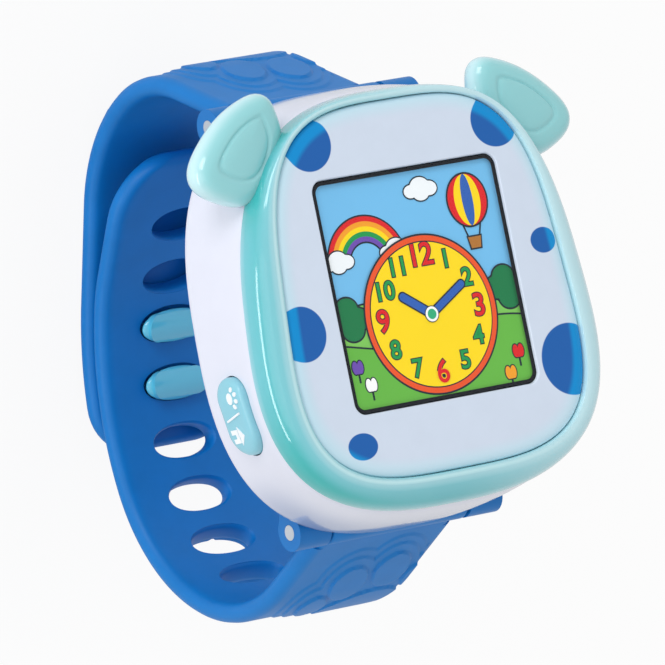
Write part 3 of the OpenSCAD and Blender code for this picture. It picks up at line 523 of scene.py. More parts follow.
def makeUpPath():
    # from the tip round the nest, then by one bend and a line to the pin
    heading, r = curves["upHeading"], curves["upLast"]
    start = nestMiddle - outsideR * aside(heading) - curves["tip"] * ahead(heading)
    legs = [(curves["tip"], 0), bend(outsideR, curves["upNestTurn"]), (curves["flat"], 0),
            bend(*curves["upBend"])]
    point, bendHeading = pathAt((start, heading, legs), lengthOf(legs))
    middle = point + r * aside(bendHeading)
    toPin = upPin - middle
    run = sqrt(toPin.length_squared - r ** 2)
    last = degrees(atan2(toPin.y, toPin.x) + atan2(r, run))
    return (start, heading, legs + [bend(r, last - bendHeading), (run, 0)])


upPath = makeUpPath()
lowLength, upLength = lengthOf(lowPath[2]), lengthOf(upPath[2])


# camera, floor and light

# the photo's camera in watch axes: its own axes, its place, and the focal length in pixels
view = {"right": (0.80892, -0.19756, 0.55373), "up": (0.14791, 0.97994, 0.13356),
        "back": (-0.56901, -0.02613, 0.82192), "place": (-578.52, -29.58, 815.22),
        "focal": 8755, "pixels": 665, "sensor": 36, "clip": (0.05, 20)}
# each lamp's place is given to the right, up and toward the camera in metres, then come
# its width, height and power
light = {"world": 0.72, "floorWhite": 0.9, "floorColour": (0.93, 0.93, 0.935, 1),
         "middle": (0, 0, 0.03),
         "top": ((-0.45, 0.85, 1.0), 0.6, 0.6, 5.0),
         "left": ((-1.0, -0.35, 0.92), 0.17, 1.2, 4.0),
         "front": ((-0.35, -0.1, 1.2), 0.8, 0.8, 1.0)}
cameraBasis = [Matrix.Rotation(radians(-stance["lean"]), 3, "X") @ Vector(view[key])
               for key in ("right", "up", "back")]


def makeCamera():
    bpy.ops.object.camera_add(location=standMatrix @ Vector(view["place"]))
    camera = bpy.context.object
    camera.name = "photoCamera"
    camera.rotation_mode = "QUATERNION"
    camera.rotation_quaternion = Matrix(cameraBasis).transposed().to_quaternion()
    camera.data.sensor_width = view["sensor"]
    camera.data.lens = view["sensor"] * view["focal"] / view["pixels"]
    camera.data.clip_start, camera.data.clip_end = view["clip"]
    bpy.context.scene.camera = camera


def makeWorld():
    # seen directly or through the window the world is white, and dimmer as a light
    world = bpy.data.worlds.new("studio")
    bpy.context.scene.world = world
    world.use_nodes = True
    back = world.node_tree.nodes["Background"]
    back.inputs["Color"].default_value = (1, 1, 1, 1)
    path = addNode(world.node_tree, "ShaderNodeLightPath").outputs
    seen = calculate("MAXIMUM", path["Is Camera Ray"], path["Is Transmission Ray"])
    link(mapRange(seen, 0.0, 1.0, light["world"], smooth=False), back.inputs["Strength"])


def makeFloor():
    # seen by the camera most of the floor's tone is plain white, so the shadow stays soft
    deselectAll()
    bpy.ops.mesh.primitive_plane_add(size=6, location=(0, 0, -0.0002))
    floor = bpy.context.object
    floor.name = "floor"
    material = newMaterial("floorPale", {"Base Color": light["floorColour"], "Roughness": 0.9,
                                         "Specular IOR Level": 0.0})
    tree = material.node_tree
    blend = addNode(tree, "ShaderNodeMixShader")
    seen = addNode(tree, "ShaderNodeLightPath").outputs["Is Camera Ray"]
    link(calculate("MULTIPLY", seen, light["floorWhite"]), blend.inputs["Fac"])
    link(shaderOf(material).outputs["BSDF"], blend.inputs[1])
    link(addNode(tree, "ShaderNodeEmission").outputs["Emission"], blend.inputs[2])
    link(blend.outputs["Shader"], tree.nodes["Material Output"].inputs["Surface"])
    floor.data.materials.append(material)


def makeLamps():
    middle = Vector(light["middle"])
    for key in ("top", "left", "front"):
        shares, width, height, energy = light[key]
        place = sum((axis * share for axis, share in zip(cameraBasis, shares)), middle)
        bpy.ops.object.light_add(type="AREA", location=place)
        lamp = bpy.context.object
        lamp.name = key + "Light"
        lamp.data.shape = "RECTANGLE"
        lamp.data.size = width
        lamp.data.size_y = height
        lamp.data.energy = energy
        back = (place - middle).normalized()
        right = cameraBasis[1].cross(back).normalized()
        lamp.rotation_euler = Matrix((right, back.cross(right), back)).transposed().to_euler()


makeCamera()
makeWorld()
makeFloor()
makeLamps()
print("toy watch: camera and light set")


# case wall with the button openings

button = {"y": -10.9, "z": -8.1, "length": 9.2, "height": 5.4, "gap": 0.14,
          "slotX": (17, 27), "stem": -2.4,
          "edge": [(0, 0.45), (0.05, 0.62), (0.16, 0.78), (0.36, 0.9), (0.7, 0.98),
                   (1.3, 1.0), (2.0, 1.0)]}
# the wall's foot, each ring drawn in and raised, and the round at its top
wall = {"wall": 1.8, "foot": [(1.8, 0), (0.3, 0), (0.08, 0.08), (0, 0.3)],
        "steps": 14, "stepsUsed": 11, "topHeight": 1.5, "topInset": 0.3,
        "topSteps": 8, "topFlat": 0.55}


def stadiumPoints(length, height, count=48):
    # a pill outline in its own plane: along, up
    half = (length - height) / 2
    turns = [2 * pi * (i + 0.5) / count for i in range(count)]
    return [(copysign(half, cos(t)) + height / 2 * cos(t), height / 2 * sin(t)) for t in turns]


def pillRing(side, length, height, x):
    return [(side * x, button["y"] + u * side, button["z"] + v)
            for u, v in stadiumPoints(length, height)]


def makeShell():
    rings = [lineRing(grown(caseLine, -inset), coverZ + rise) for inset, rise in wall["foot"]]
    for k in range(1, wall["stepsUsed"] + 1):
        z = coverZ + (ringZ - coverZ) * k / wall["steps"]
        rings.append(lineRing(caseLineAt(z), z))
    for k in range(1, wall["topSteps"] + 1):
        t = radians(90 * k / wall["topSteps"])
        z = ringZ - wall["topHeight"] * (1 - sin(t))
        inset = wall["topInset"] * (1 - cos(t))
        rings.append(lineRing(grown(caseLineAt(z), -inset), z))
    rings += [lineRing(grown(ringLine, -wall["topFlat"]), ringZ),
              lineRing(grown(ringLine, -wall["wall"]), ringZ),
              lineRing(grown(caseLine, -wall["wall"]), (ringZ + coverZ) / 2)]
    shell = loftLoop("caseWall", rings)
    length = button["length"] + 2 * button["gap"]
    height = button["height"] + 2 * button["gap"]
    for side in (-1, 1):
        cutAway(shell, loftPiece("slot", [pillRing(side, length, height, x)
                                          for x in button["slotX"]]))
    finishPiece(shell, "case", "shell", ["case_shell"], 30)


makeShell()
print("toy watch: case wall done")


# face panel, window and light ring

def roundedPoints(width, height, r, steps=8):
    points = []
    for sx, sy, start in ((1, 1, 0), (-1, 1, 90), (-1, -1, 180), (1, -1, 270)):
        for k in range(steps + 1):
            t = radians(start + 90 * k / steps)
            points.append((sx * (width / 2 - r) + r * cos(t),
                           sy * (height / 2 - r) + r * sin(t)))
    return points


# rings of the panel as growth and height, and the opening's as height and growth
plate = {"rings": [(0, -1.5), (0, -0.55), (-0.12, -0.3), (-0.4, -0.12), (-0.8, -0.02),
                   (-1.2, 0)],
         "opening": (26, 27.05, 1.5), "openingHalf": (13, 13.5),
         "openingRings": [(-3, 0), (-0.35, 0), (-0.1, 0.06), (0.02, 0.2), (0.5, 0.25)]}
rim = {"inside": [(0.08, -1.4), (0.08, -0.05), (0.2, 0.2), (0.4, 0.28)],
       "lip": 0.6, "rise": 0.29, "steps": 20, "seam": 0.02, "flat": (-0.25, -1.9),
       "root": (-1.2, -1.5)}


def makePanel():
    panel = loftPiece("facePanel", [lineRing(grown(panelLine, grow), z)
                                    for grow, z in plate["rings"]])
    wide, high = plate["openingHalf"]
    cutAway(panel, loftPiece("opening", [
        [(x * (1 + grow / wide), y * (1 + grow / high), z)
         for x, y in roundedPoints(*plate["opening"])]
        for z, grow in plate["openingRings"]]))
    finishPiece(panel, "case", "panel", ["front_panel"], 25)


def makeRing():
    lipLine = grown(panelLine, rim["lip"])
    rings = [lineRing(grown(panelLine, grow), z) for grow, z in rim["inside"]]
    for k in range(rim["steps"] + 1):
        t = radians(90 - 90 * k / rim["steps"])
        line = mixed(lipLine, ringLine, cos(t))
        rings.append(lineRing(line, ringZ + (rim["rise"] - ringZ) * sin(t)))
    rings += [lineRing(grown(ringLine, grow), ringZ - rim["seam"]) for grow in rim["flat"]]
    grow, z = rim["root"]
    rings.append(lineRing(grown(panelLine, grow), z))
    ring = loftLoop("lightRing", rings)
    finishPiece(ring, "case", "ring", ["light_ring"], 40)


# a soft ridge runs round inside the ear's edge, and its middle is a shallow pillow
ear = {"r": 2.05, "z": -3.5, "count": 96, "smoothing": 6, "inset": 0.05, "offsetTo": 1.35,
       "meanR": 5.0, "leadSteps": 14, "discSteps": 36, "turnTo": 80, "turnStep": 10,
       "leads": [(19.25, 13.4), (22.82, 14.82), (24.93, 15.91), (25.03, 16.96),
                 (20.38, 21.65), (15.35, 23.1), (16.47, 22.71), (14.69, 19.91)],
       "pillow": [(0.04, 0.03), (0.08, 0.04), (0.12, 0.0), (0.16, -0.1), (0.19, -0.13),
                  (0.22, -0.07), (0.26, 0.06), (0.32, 0.13), (0.45, 0.21), (0.6, 0.27),
                  (0.75, 0.3)],
       "room": 0.05, "roomHeights": (-13.9, -10, -8, -6, -4.5, -3.3)}


def hullOf(points):
    points = sorted((p.x, p.y) for p in points)
    hull = []
    for order in (points, points[::-1]):
        half = []
        for x, y in order:
            while len(half) > 1:
                (ax, ay), (bx, by) = half[-2:]
                if (bx - ax) * (y - ay) - (by - ay) * (x - ax) > 0:
                    break
                half.pop()
            half.append((x, y))
        hull += half[:-1]
    return [Vector(p) for p in hull]


def evenSteps(points, count):
    lengths = [(points[(i + 1) % len(points)] - p).length for i, p in enumerate(points)]
    stride, even, i, done = sum(lengths) / count, [], 0, 0.0
    for k in range(count):
        while k * stride > done + lengths[i]:
            done += lengths[i]
            i += 1
        even.append(points[i].lerp(points[(i + 1) % len(points)], (k * stride - done) / lengths[i]))
    return even


def makeEarLine():
    # the smooth outline through the leads, grown by the edge's radius and drawn tight
    leads, points = [Vector(p) for p in ear["leads"]], []
    disc = [radians(360 // ear["discSteps"] * j) for j in range(ear["discSteps"])]
    for i in range(len(leads)):
        a, b, c, d = (leads[(i + k) % len(leads)] for k in range(4))
        for k in range(ear["leadSteps"]):
            t = k / ear["leadSteps"]
            p = ((1 - t) ** 3 * a + (3 * t ** 3 - 6 * t * t + 4) * b
                 + (3 * t + 3 * t * t - 3 * t ** 3 + 1) * c + t ** 3 * d) / 6
            points += [p + ear["r"] * Vector((cos(u), sin(u))) for u in disc]
    line = evenSteps(hullOf(points), ear["count"])
    for _ in range(ear["smoothing"]):
        line = [(line[i - 1] + 2 * p + line[(i + 1) % len(line)]) / 4
                for i, p in enumerate(line)]
    return line


earLine = makeEarLine()
earMiddle = sum(earLine, Vector((0, 0))) / len(earLine)


def earRing(side, inward, share, z):
    # the ear's outline drawn in by a length, then toward its middle by a share
    inward += ear["inset"]
    rest = max(0, inward - ear["offsetTo"]) / ear["meanR"]
    inward, share = min(inward, ear["offsetTo"]), 1 - (1 - share) * (1 - rest)
    ring = []
    for i, p in enumerate(earLine):
        way = (earLine[(i + 1) % len(earLine)] - earLine[i - 1]).normalized()
        p = (p - inward * Vector((way.y, -way.x))).lerp(earMiddle, share)
        ring.append((side * p.x, p.y, ear["z"] + z))
    return ring


def makeEar(side):
    r, turnTo, turnStep = ear["r"], ear["turnTo"], ear["turnStep"]
    rings = [earRing(side, r - r * cos(radians(t)), 0, r * sin(radians(t)))
             for t in range(-turnTo, turnTo + 1, turnStep)]
    rings += [earRing(side, r, share, r + rise) for share, rise in ear["pillow"]]
    piece = loftPiece("ear", rings)
    cutAway(piece, loftPiece("caseRoom", [lineRing(grown(caseLineAt(z), ear["room"]), z)
                                          for z in ear["roomHeights"]]), folded=True)
    return piece


makeRing()
ears = joinPieces("ringEars", [makeEar(-1), makeEar(1)])
finishPiece(ears, "case", "ear", (), 40)
makePanel()
print("toy watch: ring, ears and panel done")


# straps

# paws: their pads as across, along, width and length, and their stepped relief
paw = {"size": 14.0, "rise": 0.64, "terraces": [(0.0, 0.46), (1.2, 0.3), (2.2, 0.24)],
       "turn": 16.5, "x": 2.2, "edge": 0.2, "rim": 1.22, "toes": 11.9,
       "lowPitch": 24.0, "upPitch": 18.0, "restGap": 0.1,
       "pads": [(-0.2, 0, 0.35, 0.56), (0.2, 0, 0.35, 0.56), (-0.48, 0.29, 0.27, 0.43),
                (0.48, 0.29, 0.27, 0.43), (0, 0.56, 0.76, 0.53)]}


def step(value):
    value = min(1, max(0, value))
    return value * value * (3 - 2 * value)


def pawLift(x, run, paws):
    lift = 0.0
    size, edge = paw["size"], paw["edge"]
    for side, place in paws:
        t = radians(side * paw["turn"])
        dx, dy = x - side * paw["x"], run - place
        u, v = dx * cos(t) - dy * sin(t), dx * sin(t) + dy * cos(t)
        for across, along, width, length in paw["pads"]:
            a, b = width * size / 2, length * size / 2
            e = hypot((u - across * size) / a, (v - along * size) / b)
            d = (e - 1) * min(a, b)
            height = sum(share * step(0.5 - (d - out) / edge) for out, share in paw["terraces"])
            lift = max(lift, height * paw["rise"])
    return lift * step((strap["width"] / 2 - paw["rim"] - abs(x)) / edge)


def endWidth(fromEnd, corner):
    if fromEnd >= corner:
        return strap["width"]
    return strap["width"] - 2 * (corner - sqrt(max(0, corner ** 2 - (corner - fromEnd) ** 2)))


def endThick(fromEnd):
    half = strap["thick"] / 2
    share = max(0.0, 1 - (1 - fromEnd / half) ** 2)
    return strap["thick"] * (1 if fromEnd >= half else sqrt(share))


def bandRing(path, run, fromEnd, fromPin, corner, paws):
    thick = endThick(fromEnd)
    width = endWidth(fromEnd, corner)
    if fromPin < strap["eyeReach"]:
        width = min(width, 2 * strap["eyeHalf"])
    side = max(0.05, (width - strap["thick"]) / 2)
    point, heading = pathAt(path, run)
    columns, rimSteps = strap["columns"], strap["rimSteps"]
    # the raised paws stay clear of the plane that the watch rests on
    outer = standMatrix @ Vector((0, *(point - thick / 2 * aside(heading))))
    room = max(0, outer.z * 1000 - paw["restGap"])

    def roundEdge(sign):
        turns = [radians(-90 * sign + 180 * k / rimSteps) for k in range(rimSteps)]
        return [(sign * side + strap["thick"] / 2 * cos(t), thick / 2 * sin(t)) for t in turns]

    section = roundEdge(1)
    for k in range(columns):
        x = side - 2 * side * k / columns
        section.append((x, thick / 2 + min(pawLift(x, fromPin, paws), room)))
    section += roundEdge(-1)
    for k in range(columns // 4):
        section.append((-side + 2 * side * k / (columns // 4), -thick / 2))
    ring = []
    for x, out in section:
        place = point - out * aside(heading)
        ring.append((x, place.x, place.y))
    return ring


def almondPoints(width, length, count, fullness=0.94):
    turns = [2 * pi * (i + 0.5) / count for i in range(count)]
    return [(width / 2 * power(cos(t), fullness), length / 2 * power(sin(t), fullness))
            for t in turns]


def almondRing(point, heading, out, width, length, count):
    ring = []
    for u, v in almondPoints(width, length, count):
        place = point + v * ahead(heading) + out * aside(heading)
        ring.append((u, place.x, place.y))
    return ring


def holeCutter(run, upright):
    # through the lower strap, and upright where a peg goes through
    point, heading = pathAt(lowPath, run)
    if upright:
        heading = 0
    edge = strap["holeEdge"]
    return loftPiece("hole", [
        almondRing(point, heading, out, strap["holeWidth"] + 2 * grow,
                   strap["holeLength"] + 2 * grow, 56)
        for out, grow in [(-out, grow) for out, grow in reversed(edge)] + edge])


def makeStrap(name, path, total, tipFirst, corner, paws, body, cutters):
    # close rings under the paws, wider ones beyond them, and a rounded end
    pinRuns = list(strap["rootRuns"])
    for start, stride, count in strap["runs"]:
        pinRuns += [start + stride * k for k in range(count)]
    pinRuns = [r for r in pinRuns if r < total - corner]
    steps = strap["endSteps"]
    endRuns = []
    for k in range(steps):
        share = 1 - (1 - k / steps) ** strap["endSpread"]
        endRuns.append(total - corner + corner * sin(radians(90 * share)))
    rings = []
    for fromPin in pinRuns + endRuns:
        run = total - fromPin if tipFirst else fromPin
        rings.append(bandRing(path, run, total - fromPin, fromPin, corner, paws))
    band = loftPiece(name, rings)
    if cutters:
        cutAway(band, joinPieces("holes", cutters))
    pin = upPin if tipFirst else lowPin
    bpy.ops.mesh.primitive_cylinder_add(vertices=64, radius=strap["eye"],
                                        depth=2 * strap["eyeHalf"], location=(0, pin.x, pin.y),
                                        rotation=(0, pi / 2, 0))
    eye = bpy.context.object
    bakePlace(eye)
    applyModifier(eye, "BEVEL", width=strap["eyeRound"], segments=3, angle_limit=radians(50))
    finishPiece(joinPieces(name, [band, eye]), body, "silicone", [body],
                32)


holes = [strap["holeFirst"] + k * strap["holePitch"] for k in range(strap["holeCount"])]
nearPaw = (1, paw["toes"])
makeStrap("lowerStrap", lowPath, lowLength, False, strap["tailCorner"],
          [nearPaw, (-1, paw["toes"] + paw["lowPitch"])], "strap_lower",
          [holeCutter(run, k in strap["pegHoles"]) for k, run in enumerate(holes)])
makeStrap("upperStrap", upPath, upLength, True, strap["tipCorner"],
          [nearPaw, (-1, paw["toes"] + paw["upPitch"])], "strap_upper", [])
print("toy watch: straps done")


# the clasp's heads, over its plate and necks

head = {"width": 8.9, "length": 3.95, "gap": 0.3, "dome": 1.05, "domeFrom": 0.15,
        "domePower": 0.9, "foot": [(0.0, 0.92), (0.05, 0.97), (0.13, 1.0)],
        "turns": (5, 12, 20, 29, 38, 47, 56, 64, 71, 77, 82, 86, 88.5)}


def makeHeads():
    # each ring as its height over the foot and its share of the outline
    profile = head["foot"] + [
        (head["domeFrom"] + head["dome"] * sin(radians(t)),
         cos(radians(t)) ** head["domePower"]) for t in head["turns"]]
    heads = []
    for k in strap["pegHoles"]:
        point, heading = pathAt(lowPath, holes[k])
        seat = (strap["thick"] / 2 + head["gap"]) / cos(radians(heading))
        heads.append(loftPiece("head", [
            almondRing(point + Vector((0, seat)), heading, out, head["width"] * scale,
                       head["length"] * scale, 64) for out, scale in profile]))
    finishPiece(joinPieces("claspHeads", heads), "strap_upper", "teal", (),
                50)


makeHeads()
print("toy watch: clasp done")


# side buttons

# the icons' outlines in millimetres along the case and up from the button's middle
icon = {"sunk": 0.9, "proud": 1.06, "pad": (2.15, 0.35, 1.35, 1.15), "toe": (0.52, 0.72),
        "toes": [(1.15, 1.05, 30), (1.75, 1.6, 10), (2.55, 1.6, -10), (3.15, 1.05, -30)],
        "slash": ((0.35, 1.5), (-0.35, -1.5), 0.22),
        "house": [[(-3.3, -0.1), (-1.1, -0.1), (-2.2, 1.0)],
                  [(-3.0, -0.2), (-3.0, -1.5), (-2.45, -1.5), (-2.45, -0.2)],
                  [(-1.95, -0.2), (-1.95, -1.5), (-1.4, -1.5), (-1.4, -0.2)],
                  [(-2.5, -0.2), (-2.5, -0.75), (-1.9, -0.75), (-1.9, -0.2)]]}


def onCap(side, outline, proud):
    # an outline bent round the case wall, this far proud of it
    ring = []
    for u, v in outline:
        y, z = button["y"] + u, button["z"] + v
        ring.append((side * (caseHalfWidth(y, z) + proud), y, z))
    return ring


def makeCap(side, name, body):
    rings = []
    for inset, proud in [(0, button["stem"])] + button["edge"]:
        pill = stadiumPoints(button["length"] - 2 * inset, button["height"] - 2 * inset)
        rings.append(onCap(side, [(u * side, v) for u, v in pill], proud))
    finishPiece(loftPiece(name, rings), body, "cap", [body], 40)


def ovalOutline(x, y, w, h, turn=0, count=24):
    c, s = cos(radians(turn)), sin(radians(turn))
    points = []
    for i in range(count):
        t = 2 * pi * i / count
        u, v = w / 2 * cos(t), h / 2 * sin(t)
        points.append((x + u * c - v * s, y + u * s + v * c))
    return points


def barOutline(a, b, width):
    a, b = Vector(a), Vector(b)
    n = (b - a).normalized()
    n = Vector((-n.y, n.x)) * width / 2
    return [tuple(p) for p in (a + n, a - n, b - n, b + n)]


def makeIcons():
    # on the 9 o'clock button: a paw print, a slash and a plain house
    outlines = [ovalOutline(*icon["pad"])]
    outlines += [ovalOutline(x, y, *icon["toe"], turn) for x, y, turn in icon["toes"]]
    outlines += [barOutline(*icon["slash"])] + icon["house"]
    icons = [loftPiece("icon", [onCap(-1, outline, proud)
                                for proud in (icon["sunk"], icon["proud"])])
             for outline in outlines]
    finishPiece(joinPieces("buttonIcons", icons), "home_button", "icon", (),
                30)


makeCap(-1, "homeButton", "home_button")
makeCap(1, "selectButton", "select_button")
makeIcons()
print("toy watch: buttons done")


# the display picture, laid on the glass in thin layers

picture = {"z": -0.76, "step": 0.02, "thick": 0.02, "half": (12.85, 13.35), "ink": 0.22,
           "paintedGlow": 0.12}


def screenMaterial(name, code):
    material = plasticMaterial(name, code, roughness=0.45, bump=0.0, mottle=0.01, specular=0.1)
    shader = shaderOf(material)
    # painted glow: the picture gives off a little light of its own, though it is no lamp
    shader.inputs["Emission Color"].default_value = colour(code)
    shader.inputs["Emission Strength"].default_value = picture["paintedGlow"]
    return material


screenColours = {key: screenMaterial("screen" + key, code) for key, code in {
    "Sky": "#74c0ee", "Cloud": "#f4fafd", "HillFar": "#7fca5a", "HillNear": "#66b842",
    "Bush": "#0a7a45", "Dial": "#ffdc00", "Rim": "#ee541f", "Red": "#e0161c",
    "Green": "#129a4c", "Hand": "#2b60b6", "Hub": "#2fae7a", "White": "#ffffff",
    "Line": "#152430", "Orange": "#f6a21e", "Violet": "#6d4bb0", "Basket": "#b3742c"}.items()}


def flatShape(outline, layer, key):
    z, half = picture["z"] + layer * picture["step"], picture["thick"] / 2
    piece = loftPiece("flat", [[(x, y, z + lift) for x, y in outline] for lift in (-half, half)])
    piece.data.materials.append(screenColours[key])
    return piece


def blob(x, y, discs, grow=0.0, count=72):
    # one outline round several discs that overlap, each a centre, width and height
    outline = []
    for i in range(count):
        t = 2 * pi * i / count
        far = 0.0
        for dx, dy, w, h in discs:
            a, b = w / 2 + grow, h / 2 + grow
            u, v, p, q = cos(t) / a, sin(t) / b, (x - dx) / a, (y - dy) / b
            half, square = u * p + v * q, u * u + v * v
            root = half * half - square * (p * p + q * q - 1)
            if root > 0:
                far = max(far, (sqrt(root) - half) / square)
        outline.append((x + far * cos(t), y + far * sin(t)))
    return outline


def inked(x, y, discs, layer, key, line=picture["ink"]):
    # a shape over its own dark outline
    return [flatShape(blob(x, y, discs, line), layer, "Line"),
            flatShape(blob(x, y, discs), layer + 1, key)]


def arcBand(x, y, r, width, a0, a1, count=32):
    turns = [radians(a0 + (a1 - a0) * k / count) for k in range(count + 1)]
    return ([(x + r * cos(t), y + r * sin(t)) for t in turns]
            + [(x + (r - width) * cos(t), y + (r - width) * sin(t)) for t in reversed(turns)])


def numeral(number, x, y, size, layer, key, offset):
    deselectAll()
    bpy.ops.object.text_add(location=(x, y, picture["z"] + layer * picture["step"]))
    text = bpy.context.object
    text.data.body = str(number)
    text.data.size = size
    text.data.align_x = "CENTER"
    text.data.align_y = "CENTER"
    text.data.offset = offset
    text.data.extrude = 0.008
    bpy.ops.object.convert(target="MESH")
    digits = bpy.context.object
    bakePlace(digits)
    digits.data.materials.clear()
    digits.data.materials.append(screenColours[key])
    return digits


sky = {"bow": (-6.9, 3.4), "bowEdge": (5.6, 3.3, 6, 174), "bowR": 5.4, "bowWidth": 0.58,
       "bowEnds": (4, 176), "bowKeys": ("Red", "Orange", "Dial", "Green", "Violet"),
       "clouds": [(-11.0, 3.9, 0.75), (-2.7, 4.2, 0.8), (2.2, 10.6, 0.8)],
       "cloud": [(-1.7, 0, 1.0), (0, 0.55, 1.4), (1.6, 0.1, 1.1), (0, -0.35, 1.2)],
       "cloudDisc": (2.4, 1.9), "cloudInk": 0.16,
       "ropes": [((6.9, 6.6), (7.7, 4.1)), ((9.9, 6.6), (9.1, 4.1))], "rope": 0.2,
       "balloon": (8.4, 8.6), "balloonSize": (5.4, 6.0),
       "stripes": [(3.6, 6, "Dial"), (1.5, 7, "Hand")], "basketInk": 0.18,
       "basket": [(7.5, 4.3, -1, 1), (7.75, 3.0, -1, -1), (9.05, 3.0, 1, -1),
                  (9.3, 4.3, 1, 1)]}


def makeSky():
    # a rainbow, clouds and a balloon
    bow, width = sky["bow"], sky["bowWidth"]
    parts = [flatShape(arcBand(*bow, *sky["bowEdge"]), 1, "Line")]
    for k, key in enumerate(sky["bowKeys"]):
        r = sky["bowR"] - width * k
        parts.append(flatShape(arcBand(*bow, r, width, *sky["bowEnds"]), 2, key))
    wide, high = sky["cloudDisc"]
    for x, y, s in sky["clouds"]:
        discs = [(x + dx * s, y + dy * s, wide * r * s, high * r * s)
                 for dx, dy, r in sky["cloud"]]
        parts += inked(x, y, discs, 3, "Cloud", sky["cloudInk"])
    for ends in sky["ropes"]:
        parts.append(flatShape(barOutline(*ends, sky["rope"]), 3, "Line"))
    x, y = sky["balloon"]
    wide, high = sky["balloonSize"]
    parts += inked(x, y, [(x, y, wide, high)], 4, "Red")
    for wide, layer, key in sky["stripes"]:
        parts.append(flatShape(ovalOutline(x, y, wide, high, 0, 40), layer, key))
    for grow, layer, key in ((sky["basketInk"], 4, "Line"), (0, 5, "Basket")):
        parts.append(flatShape([(x + grow * right, y + grow * up)
                                for x, y, right, up in sky["basket"]], layer, key))
    return parts


land = {"waves": 2.0, "steps": 40, "far": (-2.3, 1.1, 0.4), "near": (-6.0, 0.9, 2.6),
        "bushes": [(-11.2, -2.6), (11.2, -2.0)], "leaf": (3.0, 2.6),
        "bush": [(0, 1.2), (-1.2, 0.1), (1.3, -0.1), (0.4, -1.2)],
        "tulips": [(-11.3, -8.2, "Violet"), (-9.9, -10.4, "White"), (11.2, -9.6, "Red"),
                   (9.6, -11.9, "Orange")],
        "stem": 1.7, "stemWidth": 0.26, "petalInk": 0.14,
        "petals": [(-0.36, 0.1, 0.8, 1.5), (0.36, 0.1, 0.8, 1.5), (0, -0.2, 1.2, 0.9)]}


def hill(level, rise, phase, layer, key):
    (w, h), steps = picture["half"], land["steps"]
    top = []
    for k in range(steps, -1, -1):
        turn = phase + land["waves"] * pi * k / steps
        top.append((-w + 2 * w * k / steps, level + rise * sin(turn)))
    return [flatShape([(w, -h)] + [(x, y + lift) for x, y in top] + [(-w, -h)], on, tone)
            for lift, tone, on in ((picture["ink"], "Line", layer), (0, key, layer + 1))]


def makeLand():
    # hills, bushes and tulips
    parts = hill(*land["far"], 4, "HillFar")
    for x, y in land["bushes"]:
        discs = [(x + dx, y + dy, *land["leaf"]) for dx, dy in land["bush"]]
        parts += inked(x, y, discs, 6, "Bush")
    parts += hill(*land["near"], 8, "HillNear")
    for x, y, key in land["tulips"]:
        stem = barOutline((x, y), (x, y - land["stem"]), land["stemWidth"])
        discs = [(x + dx, y + dy, w, h) for dx, dy, w, h in land["petals"]]
        parts.append(flatShape(stem, 10, "Line"))
        parts += inked(x, y, discs, 10, key, land["petalInk"])
    return parts


dial = {"middle": (0.2, -3.6), "r": 9.1, "firstLayer": 10,
        "rings": [(0.22, "Line"), (0, "Rim"), (-0.62, "Line"), (-0.76, "Dial")],
        "numeralR": 6.8, "bigSize": 3.7, "smallSize": 3.0, "numeralInk": 0.17,
        "numeralFill": 0.05, "hands": [(60, 5.6, 0.85), (-55, 4.3, 0.95)], "handInk": 0.34,
        "hub": [(1.95, 17.2, "Line"), (1.75, 17.8, "White"), (1.2, 18.4, "Hub")]}


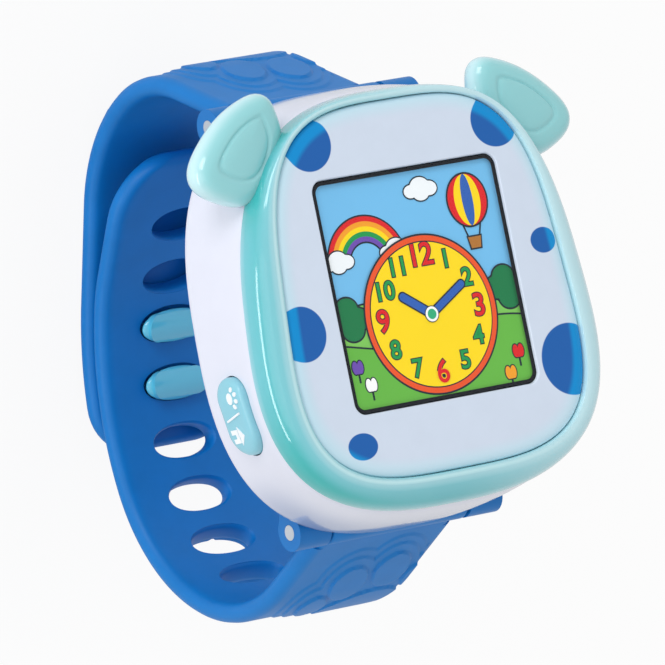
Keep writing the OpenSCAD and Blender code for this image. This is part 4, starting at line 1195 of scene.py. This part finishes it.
def makeDial():
    parts = []
    cx, cy = dial["middle"]
    for layer, (grow, key) in enumerate(dial["rings"], dial["firstLayer"]):
        wide = 2 * (dial["r"] + grow)
        parts.append(flatShape(ovalOutline(cx, cy, wide, wide, 0, 96), layer, key))
    for number in range(1, 13):
        t = radians(90 - 30 * number)
        big = number % 3 == 0
        size = dial["bigSize"] if big else dial["smallSize"]
        place = (cx + dial["numeralR"] * cos(t), cy + dial["numeralR"] * sin(t), size)
        parts.append(numeral(number, *place, 14, "Line", dial["numeralInk"]))
        parts.append(numeral(number, *place, 15, "Red" if big else "Green", dial["numeralFill"]))
    for turn, length, width in dial["hands"]:
        t = radians(90 - turn)
        tip = (cx + length * cos(t), cy + length * sin(t))
        for grow, layer, key in ((dial["handInk"], 16, "Line"), (0, 16.6, "Hand")):
            half, bar = (width + grow) / 2, []
            for k in range(-20, 20):
                u = t + radians(9 * k)
                x, y = (cx, cy) if abs(k) > 10 else tip
                bar.append((x + half * cos(u), y + half * sin(u)))
            parts.append(flatShape(bar, layer, key))
    for wide, layer, key in dial["hub"]:
        parts.append(flatShape(ovalOutline(cx, cy, wide, wide, 0, 40), layer, key))
    return parts


def makePicture():
    w, h = picture["half"]
    back = flatShape([(w, h), (-w, h), (-w, -h), (w, -h)], 0, "Sky")
    parts = [back] + makeSky() + makeLand() + makeDial()
    finishPiece(joinPieces("displayPicture", parts), "case", None, (), 30)


edging = {"outer": (25.96, 27.01, 1.48), "inner": (24.9, 25.95, 0.95), "z": (-0.345, -0.32)}


def makeBorder():
    # the black printed edge on the window
    outer, inner = (roundedPoints(*edging[key]) for key in ("outer", "inner"))
    low, high = edging["z"]
    rings = [[(x, y, z) for x, y in edge] for edge, z in (
        (outer, low), (inner, low), (inner, high), (outer, high), (outer, low))]
    border = loftPiece("windowBorder", rings, capped=False)
    finishPiece(border, "case", "black", (), 30)


makePicture()
makeBorder()
print("toy watch: display done")


# finishes of the solids that stay

solidFinish = {
    "glass": ("window_lens",), "tray": ("lcd_frame", "ring_leds"), "film": ("lcd_flex",),
    "black": ("lcd_gasket", "lcd_glass", "board_chips", "tact_switches"),
    "board": ("main_board",), "brass": ("battery_contacts",), "teal": ("strap_clasp",),
    "blue": ("battery_door", "back_cover"),
    "steel": ("speaker", "button_cells", "door_screw", "case_screws", "board_screws",
              "upper_lug_pin", "lower_lug_pin")}
for finish, nodeNames in solidFinish.items():
    for nodeName in nodeNames:
        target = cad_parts[nodeName]
        if target.material_slots:
            for slotItem in target.material_slots:
                slotItem.material = materials[finish]
        else:
            target.data.materials.append(materials[finish])

bpy.context.scene.view_settings.view_transform = "Standard"
print("toy watch: all pieces done")
